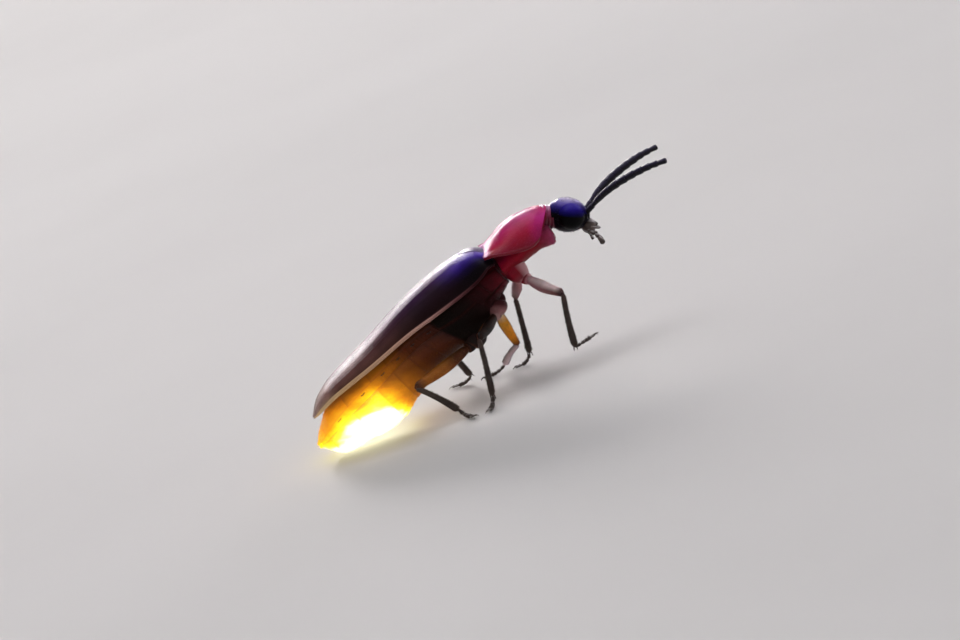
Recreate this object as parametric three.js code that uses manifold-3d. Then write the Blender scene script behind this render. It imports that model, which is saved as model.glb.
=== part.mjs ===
// A firefly at rest, with its body pitched up, its abdomen tip on the floor and its right foreleg raised.
// Millimetres. +X is forward along the floor, +Y is the insect's left, +Z is up, and the floor is at Z = 0.
import * as THREE from "three";
import { mergeVertices } from "three/addons/utils/BufferGeometryUtils.js";
import Module from "manifold-3d";

const wasm = await Module();
wasm.setup();

// Driving dimensions. Each body region has a frame of its own, pitched nose up from the floor.
const WAIST = new THREE.Vector3(2.51, 0, 6.34); // on the back, between the pronotum and the wing cases
const TRUNK_PITCH = 20;
const PROTHORAX_PITCH = 9;
const HEAD_PITCH = -25;
const HEAD_BASE = new THREE.Vector3(5.86, 0, 6.6);
const GAP = 0.03; // clearance between pieces that touch in life

const ELYTRON_LENGTH = 10.95;
const ELYTRON_HALF_WIDTH = 2.28;
const ELYTRON_THICKNESS = 0.5;
const PRONOTUM_LENGTH = 3.42;
const PRONOTUM_HALF_WIDTH = 1.88;
const PRONOTUM_THICKNESS = 0.5;
const THORAX_END = 3.45;
const ABDOMEN_END = 11.68;

// Half length, half width and half height of the head's ellipsoids, and their centres in the head's frame.
const HEAD_SIZE = new THREE.Vector3(0.98, 0.84, 0.8);
const HEAD_CENTRE = new THREE.Vector3(0.72, 0, 0.16);
const EYE_SIZE = new THREE.Vector3(0.6, 0.56, 0.6);
const EYE_CENTRE = new THREE.Vector3(0.86, 0.66, 0.18);
const MOUTH_SIZE = new THREE.Vector3(0.38, 0.42, 0.36);
const MOUTH_CENTRE = new THREE.Vector3(1.74, 0, -0.3);
const NECK_CENTRE = new THREE.Vector3(-0.35, 0, 0.02);
const NECK_RADIUS = 0.5;
const NECK_LENGTH = 0.5;
const ANTENNA_RADIUS = 0.25;
const PALP_RADIUS = 0.2;

const COLOURS = {
  blackShell: { color: 0x17121c, roughness: 0.32, metalness: 0 },
  eye: { color: 0x08070c, roughness: 0.12, metalness: 0 },
  antenna: { color: 0x1d1822, roughness: 0.55, metalness: 0 },
  pink: { color: 0xc22a70, roughness: 0.4, metalness: 0 },
  crimson: { color: 0x8c1c33, roughness: 0.45, metalness: 0 },
  elytron: { color: 0x241520, roughness: 0.42, metalness: 0 },
  belly: { color: 0x8a3f12, roughness: 0.45, metalness: 0 },
  lantern: { color: 0xf6e24a, roughness: 0.5, metalness: 0, emissive: 0xd8c020 },
  femur: { color: 0xb0623a, roughness: 0.42, metalness: 0 },
  tibia: { color: 0x2b1a1c, roughness: 0.5, metalness: 0 },
};

const degrees = THREE.MathUtils.degToRad;
const clamp = THREE.MathUtils.clamp;

// A smooth curve through a few [distance, value] stations, level outside them.
function through(...stations) {
  const slope = (i) => {
    const [before, after] = [stations[Math.max(i - 1, 0)], stations[Math.min(i + 1, stations.length - 1)]];
    return (after[1] - before[1]) / (after[0] - before[0]);
  };
  return (distance) => {
    const last = stations.length - 1;
    if (distance <= stations[0][0]) return stations[0][1];
    if (distance >= stations[last][0]) return stations[last][1];
    const i = stations.findIndex((station) => station[0] > distance) - 1;
    const [from, to] = [stations[i], stations[i + 1]];
    const width = to[0] - from[0];
    const t = (distance - from[0]) / width;
    return (
      from[1] * (1 + 2 * t) * (1 - t) ** 2 +
      slope(i) * width * t * (1 - t) ** 2 +
      to[1] * t * t * (3 - 2 * t) +
      slope(i + 1) * width * t * t * (t - 1)
    );
  };
}

// The height of an arched plate above its margin, from 1 at its middle to 0 at across = 1.
const arch = (across, squareness) => Math.max(1 - Math.abs(across) ** squareness, 0) ** 0.85;

// Moves every vertex of a stock geometry with place, and leaves one closed surface that faces out.
function reshape(stock, place) {
  stock.deleteAttribute("normal");
  stock.deleteAttribute("uv");
  const geometry = mergeVertices(stock, 1e-4);
  const position = geometry.attributes.position;
  const vertex = new THREE.Vector3();
  for (let i = 0; i < position.count; i++) {
    place(vertex.fromBufferAttribute(position, i));
    position.setXYZ(i, vertex.x, vertex.y, vertex.z);
  }
  const [a, b, c] = [new THREE.Vector3(), new THREE.Vector3(), new THREE.Vector3()];
  let volume = 0;
  const index = geometry.index.array;
  for (let i = 0; i < index.length; i += 3) {
    a.fromBufferAttribute(position, index[i]);
    b.fromBufferAttribute(position, index[i + 1]);
    c.fromBufferAttribute(position, index[i + 2]);
    volume += a.dot(b.cross(c));
  }
  if (volume < 0) {
    for (let i = 0; i < index.length; i += 3) {
      [index[i + 1], index[i + 2]] = [index[i + 2], index[i + 1]];
    }
  }
  geometry.computeVertexNormals();
  return geometry;
}

function piece(name, geometry, colour, parent) {
  const mesh = new THREE.Mesh(geometry, new THREE.MeshStandardMaterial(COLOURS[colour]));
  mesh.name = name;
  parent.add(mesh);
  return mesh;
}

function bodyFrame(origin, pitch, parent) {
  const frame = new THREE.Group();
  frame.position.copy(origin);
  frame.rotation.y = -degrees(pitch);
  parent.add(frame);
  return frame;
}

const firefly = new THREE.Group();
const insect = new THREE.Group();
firefly.add(insect);
const trunk = bodyFrame(WAIST, TRUNK_PITCH, insect);
const prothorax = bodyFrame(WAIST, PROTHORAX_PITCH, insect);
const head = bodyFrame(HEAD_BASE, HEAD_PITCH, insect);

// Wing cases: two arched plates that meet along the back. Distances run backwards from the waist.
const elytronRidge = through(
  [0, 0.16],
  [0.8, 0.6],
  [2.4, 0.8],
  [4.4, 0.78],
  [7, 0.46],
  [9.3, 0.26],
  [10.3, -0.02],
  [ELYTRON_LENGTH, -0.45],
);
const elytronMargin = through(
  [0, -0.02],
  [1.2, -0.06],
  [3, 0.04],
  [5, 0.16],
  [9.3, 0.14],
  [10.3, -0.14],
  [ELYTRON_LENGTH, -0.5],
);
const WIDEST_AT = 5.6;
const SHOULDER_HALF_WIDTH = 1.9;
const SHOULDER_ROUND = 0.75; // how far back the rounded shoulder reaches
const SHOULDER_INSET = 0.22;
const BLUNT_TIP = 0.06; // how far the outline's curve closes behind the tip
const SUTURE_HALF_GAP = 0.02;
const ELYTRON_EDGE_THINNING = 0.55;

function elytronHalfWidth(back) {
  const flare = THREE.MathUtils.smoothstep(back, 0, WIDEST_AT);
  const sides = THREE.MathUtils.lerp(SHOULDER_HALF_WIDTH, ELYTRON_HALF_WIDTH, flare);
  const shoulder = SHOULDER_INSET * Math.max(1 - back / SHOULDER_ROUND, 0) ** 2;
  const toTip = clamp((back - WIDEST_AT) / (ELYTRON_LENGTH + BLUNT_TIP - WIDEST_AT), 0, 1);
  return (sides - shoulder) * (1 - toTip ** 3.4) ** 0.5;
}

function elytronTop(back, across) {
  const margin = elytronMargin(back);
  return margin + (elytronRidge(back) - margin) * arch(across, 2.4);
}

function elytron(side) {
  const [alongSteps, acrossSteps] = [16, 5];
  return reshape(new THREE.BoxGeometry(1, 1, 1, alongSteps, acrossSteps, 1), (vertex) => {
    const along = vertex.x + 0.5;
    const across = vertex.y + 0.5;
    const back = ELYTRON_LENGTH * Math.sin((along * Math.PI) / 2) ** 0.9;
    const y = THREE.MathUtils.lerp(SUTURE_HALF_GAP, elytronHalfWidth(back), across);
    const depth = vertex.z < 0 ? ELYTRON_THICKNESS : 0;
    const tuck = Math.min(0.75 * depth, 0.6 * y) * across ** 3;
    const thinned = depth * (1 - ELYTRON_EDGE_THINNING * across ** 4);
    vertex.set(-back, side * (y - tuck), elytronTop(back, across) - thinned);
  });
}

const elytronRight = piece("elytron_right", elytron(-1), "elytron", trunk);
const elytronLeft = piece("elytron_left", elytron(1), "elytron", trunk);

// Hind body: one smooth envelope that the thorax rings and the abdomen's segments share.
const bodyTop = through(
  [0.1, -0.45],
  [1, 0],
  [2.4, 0.2],
  [4.5, 0.2],
  [7, -0.08],
  [9.3, -0.32],
  [10.3, -0.6],
  [11, -1.05],
  [ABDOMEN_END, -1.4],
);
const bodyBottom = through(
  [0.3, -1.85],
  [1.3, -2.2],
  [2.6, -2.85],
  [3.3, -2.75],
  [4.5, -2.45],
  [6.2, -2.8],
  [8.2, -3.36],
  [9.8, -3.09],
  [10.9, -2.84],
  [ABDOMEN_END, -2],
);
const bodyHalfWidth = through(
  [0.1, 1.35],
  [1, 1.72],
  [2.6, 1.88],
  [4.5, 1.92],
  [6.8, 1.98],
  [8.6, 1.82],
  [10.2, 1.42],
  [11.1, 0.98],
  [ABDOMEN_END, 0.42],
);
const bodyWidestLevel = through(
  [0.1, -1],
  [3, -0.95],
  [5, -0.75],
  [8, -0.9],
  [10.4, -1.25],
  [ABDOMEN_END, -1.68],
);

// A closed ring of the hind body between two distances, whose planes lean by the given slopes.
// Its front is narrower than its rear by the flare, as where segments slide into one another.
const RING_SIDES = 24;

function bodyRing(from, to, { leanFrom = 0, leanTo = 0, flare = 0.03, steps = 2 } = {}) {
  return reshape(new THREE.CylinderGeometry(1, 1, 1, RING_SIDES, steps), (vertex) => {
    const along = 0.5 - vertex.y;
    const back = THREE.MathUtils.lerp(from, to, along);
    const lean = THREE.MathUtils.lerp(leanFrom, leanTo, along);
    const level = bodyWidestLevel(back);
    const swell = 1 - flare * (1 - along);
    const height = vertex.x > 0 ? bodyTop(back) - level : level - bodyBottom(back);
    const rise = height * vertex.x * swell;
    vertex.set(-back - lean * (rise + 1), bodyHalfWidth(back) * vertex.z * swell, level + rise);
  });
}

const THORAX_LEAN = 0.37;
const THORAX_FRONT = 0.12;
const MESOTHORAX_END = 1.4;
const mesothorax = piece(
  "mesothorax",
  bodyRing(THORAX_FRONT, MESOTHORAX_END, { leanTo: THORAX_LEAN, flare: 0.02 }),
  "blackShell",
  trunk,
);
const metathorax = piece(
  "metathorax",
  bodyRing(MESOTHORAX_END + GAP, THORAX_END, { leanFrom: THORAX_LEAN, leanTo: THORAX_LEAN, flare: 0 }),
  "blackShell",
  trunk,
);

// Abdomen: brown to orange segments, then the two luminous ones and the end plate.
const SEGMENTS = [
  { name: "abdomen_1", end: 4.5, colour: "belly" },
  { name: "abdomen_2", end: 5.55, colour: "belly" },
  { name: "abdomen_3", end: 6.6, colour: "belly" },
  { name: "abdomen_4", end: 7.65, colour: "belly" },
  { name: "lantern_front", end: 9.2, colour: "lantern", steps: 3 },
  { name: "lantern_rear", end: 10.85, colour: "lantern", steps: 3 },
  { name: "abdomen_tip", end: ABDOMEN_END, colour: "belly" },
];
const LEAN_FADES_BY = 3; // segments
const segments = SEGMENTS.map(({ name, end, colour, steps }, i) => {
  const start = i ? SEGMENTS[i - 1].end : THORAX_END;
  const leanAt = (k) => THORAX_LEAN * Math.max(1 - k / LEAN_FADES_BY, 0);
  const shape = bodyRing(start + GAP, end, { leanFrom: leanAt(i), leanTo: leanAt(i + 1), steps });
  return piece(name, shape, colour, trunk);
});

// Scutellum: the small shield between the wing cases' bases, a little proud of them.
const SCUTELLUM_LENGTH = 0.95;
const SCUTELLUM_HALF_WIDTH = 0.55;
const SCUTELLUM_TIP = 0.06; // half width of its blunt tip
const SCUTELLUM_THICKNESS = 0.42;
const scutellum = piece(
  "scutellum",
  reshape(new THREE.BoxGeometry(1, 1, 1, 5, 4, 1), (vertex) => {
    const along = vertex.x + 0.5;
    const halfWidth = SCUTELLUM_HALF_WIDTH * (1 - along ** 1.6) + SCUTELLUM_TIP;
    const back = SCUTELLUM_LENGTH * along;
    const across = 2 * vertex.y * halfWidth;
    const top = elytronTop(back, 0) + 0.02;
    const fall = 0.05 * (across / SCUTELLUM_HALF_WIDTH) ** 2;
    vertex.set(-back - GAP, across, top - (vertex.z > 0 ? fall : SCUTELLUM_THICKNESS));
  }),
  "blackShell",
  trunk,
);

// Pronotum: the domed pink shield, whose sides fold down further towards its front.
const pronotumTop = through([0, 0.12], [0.35, 0.58], [0.52, 0.7], [0.7, 0.66], [0.88, 0.54], [1, 0.3]);
const pronotumMargin = through([0, 0.08], [0.4, -0.38], [0.75, -0.6], [1, -0.55]);
const pronotumHalfWidth = through(
  [0, PRONOTUM_HALF_WIDTH],
  [0.45, PRONOTUM_HALF_WIDTH],
  [0.8, 1.7],
  [1, 1.34],
);
const PRONOTUM_REAR_BOW = 0.22; // how far its corners lie behind the middle of its hind edge
const PRONOTUM_FRONT_BOW = 0.97; // and of its front edge
const PRONOTUM_EDGE_THINNING = 0.7;
const PRONOTUM_TUCK = 0.9; // how far the underside draws in at the side margins, per unit of thickness

function pronotumPoint(along, across, depth) {
  const bow = THREE.MathUtils.lerp(PRONOTUM_REAR_BOW, PRONOTUM_FRONT_BOW, along ** 2);
  const margin = pronotumMargin(along);
  const height = (pronotumTop(along) - margin) * arch(across, 2.3);
  const x = PRONOTUM_LENGTH * along - bow * Math.abs(across) ** 2.2 - 0.2 * depth * along ** 4;
  const y = across * pronotumHalfWidth(along) - PRONOTUM_TUCK * depth * across ** 3;
  const thinned = depth * (1 - PRONOTUM_EDGE_THINNING * across ** 4);
  return new THREE.Vector3(x, y, margin + height - thinned);
}

const pronotum = piece(
  "pronotum",
  reshape(new THREE.BoxGeometry(1, 1, 1, 8, 12, 1), (vertex) => {
    const depth = vertex.z < 0 ? PRONOTUM_THICKNESS : 0;
    vertex.copy(pronotumPoint(vertex.x + 0.5, 2 * vertex.y, depth));
  }),
  "pink",
  prothorax,
);

// Prosternum: the crimson core under the shield, which carries the forelegs and the neck.
const CORE_REAR = 0.15;
const CORE_FRONT = 3.05;
const coreTop = through([CORE_REAR, -0.4], [1.2, -0.1], [2.2, -0.15], [CORE_FRONT, -0.35]);
const coreBottom = through([CORE_REAR, -1.6], [0.9, -1.42], [2.2, -1.24], [2.8, -1.36], [CORE_FRONT, -1.2]);
const coreHalfWidth = through([CORE_REAR, 1.3], [1.2, 1.42], [2.2, 1.2], [CORE_FRONT, 0.7]);
const prosternum = piece(
  "prosternum",
  reshape(new THREE.CylinderGeometry(1, 1, 1, 18, 4), (vertex) => {
    const forward = THREE.MathUtils.lerp(CORE_REAR, CORE_FRONT, vertex.y + 0.5);
    const up = (vertex.x + 1) / 2;
    const level = THREE.MathUtils.lerp(coreBottom(forward), coreTop(forward), up);
    vertex.set(forward, coreHalfWidth(forward) * vertex.z, level);
  }),
  "crimson",
  prothorax,
);

// Head, eyes and mouthparts: the head narrows behind and towards the jaw.
const headCapsule = piece(
  "head",
  reshape(new THREE.SphereGeometry(1, 16, 9), (vertex) => {
    const behind = 1 - 0.14 * Math.max(-vertex.x, 0) ** 2;
    const jaw = 1 - 0.12 * Math.max(-vertex.z, 0);
    vertex.multiply(HEAD_SIZE).multiply(new THREE.Vector3(1, behind * jaw, behind)).add(HEAD_CENTRE);
  }),
  "blackShell",
  head,
);

function eye(side) {
  const centre = new THREE.Vector3(1, side, 1).multiply(EYE_CENTRE);
  return reshape(new THREE.SphereGeometry(1, 14, 8), (vertex) => vertex.multiply(EYE_SIZE).add(centre));
}
const eyes = [piece("eye_right", eye(-1), "eye", head), piece("eye_left", eye(1), "eye", head)];

const mouthparts = piece(
  "mouthparts",
  reshape(new THREE.SphereGeometry(1, 12, 8), (vertex) => vertex.multiply(MOUTH_SIZE).add(MOUTH_CENTRE)),
  "blackShell",
  head,
);

const neck = piece(
  "neck",
  reshape(new THREE.CylinderGeometry(NECK_RADIUS, NECK_RADIUS, NECK_LENGTH, 10, 1), (vertex) => {
    vertex.set(vertex.y, vertex.z, vertex.x).add(NECK_CENTRE);
  }),
  "crimson",
  head,
);

// A round bar along a curve, as a tube of the given radius with flat ends.
function bar(points, radius, steps, sides = 8) {
  const section = new THREE.Shape();
  for (let i = 0; i < sides; i++) {
    const angle = (2 * Math.PI * i) / sides;
    const [x, y] = [radius * Math.cos(angle), radius * Math.sin(angle)];
    if (i) section.lineTo(x, y);
    else section.moveTo(x, y);
  }
  const path = new THREE.CatmullRomCurve3(points);
  return reshape(new THREE.ExtrudeGeometry(section, { steps, extrudePath: path }), () => {});
}

// Antennae sweep forward, up and apart. Palps hang from the mouth.
function sweptPair(name, points, radius, steps, colour, parent) {
  return [-1, 1].map((side) => {
    const path = points.map(([x, y, z]) => new THREE.Vector3(x, side * y, z));
    return piece(name + (side < 0 ? "_right" : "_left"), bar(path, radius, steps), colour, parent);
  });
}
const ANTENNA_PATH = [
  [7.3, 0.24, 6.16],
  [8.35, 0.72, 6.78],
  [9.3, 1.15, 7.13],
  [10.6, 1.7, 7.38],
  [11.6, 2.1, 7.42],
];
const antennae = sweptPair("antenna", ANTENNA_PATH, ANTENNA_RADIUS, 10, "antenna", insect);
const PALP_PATH = [
  [1.62, 0.28, -0.42],
  [2, 0.42, -0.62],
  [2.4, 0.4, -0.95],
];
const palps = sweptPair("palp", PALP_PATH, PALP_RADIUS, 5, "antenna", head);

// A leg piece from one joint to the next: a round bar with rounded ends that swells in its middle.
const LEG_SIDES = 8;
const CAP_STEPS = 2;

function legPiece(name, from, to, { start, middle, end, swellAt = 0.4 }, colour) {
  const length = from.distanceTo(to);
  const profile = [new THREE.Vector2(0, -start)];
  for (let i = 1; i <= CAP_STEPS; i++) {
    const angle = (Math.PI / 2) * (i / CAP_STEPS);
    profile.push(new THREE.Vector2(start * Math.sin(angle), -start * Math.cos(angle)));
  }
  profile.push(new THREE.Vector2(THREE.MathUtils.lerp(start, middle, 0.7), length * swellAt * 0.5));
  profile.push(new THREE.Vector2(middle, length * swellAt));
  profile.push(new THREE.Vector2((middle + end) / 2, length * (1 + swellAt) * 0.5));
  for (let i = CAP_STEPS; i >= 1; i--) {
    const angle = (Math.PI / 2) * (i / CAP_STEPS);
    profile.push(new THREE.Vector2(end * Math.sin(angle), length + end * Math.cos(angle)));
  }
  profile.push(new THREE.Vector2(0, length + end));
  const mesh = piece(name, reshape(new THREE.LatheGeometry(profile, LEG_SIDES), () => {}), colour, insect);
  mesh.position.copy(from);
  mesh.quaternion.setFromUnitVectors(new THREE.Vector3(0, 1, 0), to.clone().sub(from).normalize());
  return mesh;
}

// Each leg's joints. A resting tarsus lies along the floor, from its ankle to its claws.
const FOOT = 0.2; // height of a lying tarsus's claws
const LEGS = {
  foreleg_right: {
    socket: [3.32, -0.68, 5.38],
    hip: [3.66, -0.87, 4.66],
    knee: [5.04, -2.4, 3.61],
    ankle: [4.65, -2.5, 1.08],
    claws: [5.66, -2.6, 1.3],
  },
  foreleg_left: {
    socket: [3.32, 0.68, 5.38],
    hip: [3.5, 0.87, 4.58],
    knee: [3, 2.5, 3.33],
    ankle: [2.66, 2.9, 0.5],
    claws: [1.9, 3.1, FOOT],
  },
  midleg_right: {
    socket: [2.05, -0.62, 4.05],
    hip: [1.9, -0.8, 3.55],
    knee: [0.75, -2.9, 3.23],
    ankle: [0.35, -2.65, 0.45],
    claws: [-0.05, -3.75, FOOT],
  },
  midleg_left: {
    socket: [2.05, 0.62, 4.05],
    hip: [1.98, 0.8, 3.55],
    knee: [2.29, 1.65, 1.36],
    ankle: [1.42, 3.3, 0.4],
    claws: [0.3, 3.5, FOOT],
  },
  hindleg_right: {
    socket: [0.75, -0.8, 3.1],
    hip: [0.35, -1.05, 2.7],
    knee: [-2.75, -2.75, 2.16],
    ankle: [-1.3, -2.65, 0.42],
    claws: [-0.75, -3.65, FOOT],
  },
  hindleg_left: {
    socket: [0.75, 0.8, 3.1],
    hip: [0.35, 1.05, 2.7],
    knee: [-1, 3.2, 2.55],
    ankle: [-0.25, 3.6, 0.42],
    claws: [-1.2, 4.3, FOOT],
  },
};
const COXA = { start: 0.46, middle: 0.62, end: 0.42, swellAt: 0.45 };
const FEMUR = { start: 0.26, middle: 0.34, end: 0.26, swellAt: 0.45 };
const TIBIA = { start: 0.25, middle: 0.26, end: 0.25, swellAt: 0.6 };
const TARSUS = { start: 0.25, middle: 0.27, end: 0.25, swellAt: 0.6 };
const SEATS = {
  fore: [prosternum, mesothorax],
  midl: [mesothorax, metathorax],
  hind: [metathorax, segments[0]],
};
const legs = Object.entries(LEGS).map(([name, joints]) => {
  const at = (joint) => new THREE.Vector3(...joints[joint]);
  const segmentName = name.slice(0, 4);
  const coxaColour = segmentName === "fore" ? "crimson" : "blackShell";
  return {
    seat: SEATS[segmentName],
    coxa: legPiece(name + "_coxa", at("socket"), at("hip"), COXA, coxaColour),
    femur: legPiece(name + "_femur", at("hip"), at("knee"), FEMUR, "femur"),
    tibia: legPiece(name + "_tibia", at("knee"), at("ankle"), TIBIA, "tibia"),
    tarsus: legPiece(name + "_tarsus", at("ankle"), at("claws"), TARSUS, "tibia"),
  };
});

// Fitting: where two pieces meet, the second is cut back from the first, grown by the clearance.
insect.updateMatrixWorld(true);

function solidOf(mesh, growth = 0) {
  const geometry = mesh.geometry.clone();
  const { position, normal } = geometry.attributes;
  for (let i = 0; i < position.count; i++) {
    const vertex = new THREE.Vector3().fromBufferAttribute(position, i);
    vertex.addScaledVector(new THREE.Vector3().fromBufferAttribute(normal, i), growth);
    position.setXYZ(i, vertex.x, vertex.y, vertex.z);
  }
  geometry.applyMatrix4(mesh.matrixWorld);
  return new wasm.Manifold(
    new wasm.Mesh({
      numProp: 3,
      vertProperties: new Float32Array(position.array),
      triVerts: new Uint32Array(geometry.index.array),
    }),
  );
}

function reshapeTo(mesh, solid) {
  const { vertProperties, triVerts } = solid.getMesh();
  const geometry = new THREE.BufferGeometry()
    .setAttribute("position", new THREE.BufferAttribute(new Float32Array(vertProperties), 3))
    .setIndex(new THREE.BufferAttribute(new Uint32Array(triVerts), 1));
  geometry.applyMatrix4(mesh.matrixWorld.clone().invert());
  geometry.computeVertexNormals();
  mesh.geometry = geometry;
}

function fit(mesh, ...neighbours) {
  let solid = solidOf(mesh);
  for (const neighbour of neighbours) solid = solid.subtract(solidOf(neighbour, GAP));
  const largest = solid.decompose().reduce((best, body) => (body.volume() > best.volume() ? body : best));
  reshapeTo(mesh, largest);
}

fit(headCapsule, ...eyes, mouthparts);
antennae.forEach((antenna) => fit(antenna, headCapsule));
palps.forEach((palp) => fit(palp, mouthparts));
fit(pronotum, headCapsule);
fit(neck, headCapsule, pronotum);
fit(prosternum, pronotum, neck);
[elytronRight, elytronLeft].forEach((wingCase) => fit(wingCase, scutellum, pronotum));
fit(mesothorax, prosternum);
for (const { coxa, femur, tibia, tarsus, seat } of legs) {
  fit(coxa, ...seat);
  fit(femur, coxa, ...seat);
  fit(tibia, femur);
  fit(tarsus, tibia);
}

// Small flats at one level: the floor trims every foot on it and the abdomen's underside.
const slab = new THREE.BoxGeometry(60, 60, 10).translate(0, 0, -5);
const floor = new THREE.Mesh(reshape(slab, () => {}));
floor.updateMatrixWorld();
const grounded = [...segments.slice(-2), ...legs.map(({ tarsus }) => tarsus)];
grounded.forEach((mesh) => reshapeTo(mesh, solidOf(mesh).subtract(solidOf(floor))));

// The origin is on the floor, under the middle of the whole insect.
const bounds = new THREE.Box3().setFromObject(insect, true);
const middle = bounds.getCenter(new THREE.Vector3());
insect.position.set(-middle.x, -middle.y, -bounds.min.z);

export default firefly;
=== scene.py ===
import math

import bmesh
import bpy
import numpy as np
from mathutils import Matrix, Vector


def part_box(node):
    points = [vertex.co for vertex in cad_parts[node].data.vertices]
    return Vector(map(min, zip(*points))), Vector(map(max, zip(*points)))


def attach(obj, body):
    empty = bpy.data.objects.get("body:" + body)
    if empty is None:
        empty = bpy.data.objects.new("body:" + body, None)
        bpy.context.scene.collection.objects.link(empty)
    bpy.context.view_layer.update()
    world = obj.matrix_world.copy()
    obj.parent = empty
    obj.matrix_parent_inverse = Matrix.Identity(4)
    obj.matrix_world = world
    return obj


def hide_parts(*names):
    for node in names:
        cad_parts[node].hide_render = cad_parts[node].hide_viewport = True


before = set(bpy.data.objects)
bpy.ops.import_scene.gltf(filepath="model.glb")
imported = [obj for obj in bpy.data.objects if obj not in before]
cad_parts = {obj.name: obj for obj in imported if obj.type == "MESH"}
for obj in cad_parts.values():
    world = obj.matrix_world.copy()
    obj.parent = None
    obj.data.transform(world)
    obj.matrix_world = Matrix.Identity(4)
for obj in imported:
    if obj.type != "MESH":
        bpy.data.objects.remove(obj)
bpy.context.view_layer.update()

# The soft skin of the hind body: one tube of folded membrane that carries every plate of thorax and abdomen.
# It is leathery and translucent, and lies a little inside the plates, with fine ring folds along both
# flanks, where the plates leave it bare. Its colour, dark red at the waist and golden towards the lantern,
# and its glow are painted light of the lantern shining through it.
MM = 0.001  # in metres; lengths of the insect are in millimetres
HEAD_PITCH = -25  # degrees nose up, as the other pitches
TRUNK_PITCH = 20
EYE_CENTRE = (0.86, 0.0, 0.18)  # midway between the eyes, in the head's own frame
WAIST_FROM_HEAD = (-3.35, 0.0, -0.26)
ABDOMEN_END = 11.68
THORAX_END = 3.45


def middle(node):
    low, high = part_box(node)
    return np.array((low + high) / 2) / MM


def turned(points, pitch):
    """Points of a region pitched nose up by some degrees, turned level with the floor."""
    return np.asarray(points, float) @ np.array(Matrix.Rotation(-math.radians(pitch), 3, "Y")).T


def region(origin, pitch):
    """A region's own frame, x forward and z up: what turns its points into the model's, in millimetres."""
    return lambda points: turned(points, pitch) + origin


head_base = (middle("eye_right") + middle("eye_left")) / 2 - turned(EYE_CENTRE, HEAD_PITCH)
waist = head_base + np.array(WAIST_FROM_HEAD)
on_trunk = region(waist, TRUNK_PITCH)


def through(*stations):
    """A smooth curve through a few (distance, value) stations, level outside them."""
    places, values = np.array(stations, float).T
    ends = np.arange(len(places))
    before = np.maximum(ends - 1, 0)
    after = np.minimum(ends + 1, len(places) - 1)
    slopes = (values[after] - values[before]) / (places[after] - places[before])

    def curve(distance):
        distance = np.clip(distance, places[0], places[-1])
        i = np.clip(np.searchsorted(places, distance, side="right") - 1, 0, len(places) - 2)
        width = places[i + 1] - places[i]
        t = (distance - places[i]) / width
        start = values[i] * (1 + 2 * t) * (1 - t) ** 2 + slopes[i] * width * t * (1 - t) ** 2
        return start + values[i + 1] * t * t * (3 - 2 * t) + slopes[i + 1] * width * t * t * (t - 1)

    return curve


body_top = through(
    (0.1, -0.45), (1, 0), (2.4, 0.2), (4.5, 0.2), (7, -0.08), (9.3, -0.32), (10.3, -0.6), (11, -1.05),
    (ABDOMEN_END, -1.4),
)
body_bottom = through(
    (0.3, -1.85), (1.3, -2.2), (2.6, -2.85), (3.3, -2.75), (4.5, -2.64), (6.2, -2.86), (8.2, -3.33),
    (9.8, -3.0), (10.9, -2.74), (ABDOMEN_END, -2),
)
body_half_width = through(
    (0.1, 1.35), (1, 1.72), (2.6, 1.88), (4.5, 1.92), (6.8, 1.98), (8.6, 1.82), (10.2, 1.42), (11.1, 0.98),
    (ABDOMEN_END, 0.42),
)
body_widest_level = through(
    (0.1, -1), (3, -0.95), (5, -0.75), (8, -0.9), (10.4, -1.25), (ABDOMEN_END, -1.68),
)
body_lean = through((0.12, 0), (1.4, 0.37), (THORAX_END, 0.37), (6.6, 0))
UPRIGHT_DEPTH = 1.0  # how far below the widest level the leaning sections turn


def stacked(x, y, z):
    return np.stack(np.broadcast_arrays(x, y, z), axis=-1)


def full_turn(count):
    return np.linspace(0, 2 * math.pi, count, endpoint=False)


def hull_rise(back, angle):
    """How far the outline stands above the level where the body is widest."""
    level = body_widest_level(back)
    height = np.where(np.cos(angle) > 0, body_top(back) - level, level - body_bottom(back))
    return height * np.cos(angle)


def hull(back, angle, swell=1.0):
    """Points of the hind body's outline. Angle 0 is the back's middle and a half turn the belly's."""
    rise = hull_rise(back, angle) * swell
    x = -back - body_lean(back) * (rise + UPRIGHT_DEPTH)
    y = body_half_width(back) * np.sin(angle) * swell
    return on_trunk(stacked(x, y, body_widest_level(back) + rise))


def bump_at(distance, spread):
    """A round bump, 1 at distance 0."""
    return np.exp(-((distance / spread) ** 2))


def lattice(points, closed=False, caps=(False, False), **marks):
    """A sheet of quads over rows of points. Closed rows run round, and a capped end row is filled."""
    rows, columns = points.shape[:2]
    index = np.arange(rows * columns).reshape(rows, columns)
    if closed:
        index = np.concatenate([index, index[:, :1]], axis=1)
    quads = np.stack([index[:-1, :-1], index[:-1, 1:], index[1:, 1:], index[1:, :-1]], axis=-1)
    faces = quads.reshape(-1, 4).tolist()
    marks.setdefault("run", np.linspace(0, 1, rows)[:, None])
    marks.setdefault("span", np.linspace(0, 1, columns)[None, :])
    values = {name: np.broadcast_to(mark, (rows, columns)).ravel() for name, mark in marks.items()}
    corners = points.reshape(-1, 3)
    for row, wanted in zip((0, rows - 1), caps):
        if not wanted:
            continue
        faces += [[a, b, len(corners)] for a, b in zip(index[row, :-1].tolist(), index[row, 1:].tolist())]
        corners = np.vstack([corners, points[row].mean(axis=0)])
        values = {name: np.append(value, value[index[row, 0]]) for name, value in values.items()}
    return corners, faces, values


def solid(rings, **marks):
    """A closed solid over a row of rings of points."""
    return lattice(rings, closed=True, caps=(True, True), **marks)


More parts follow.
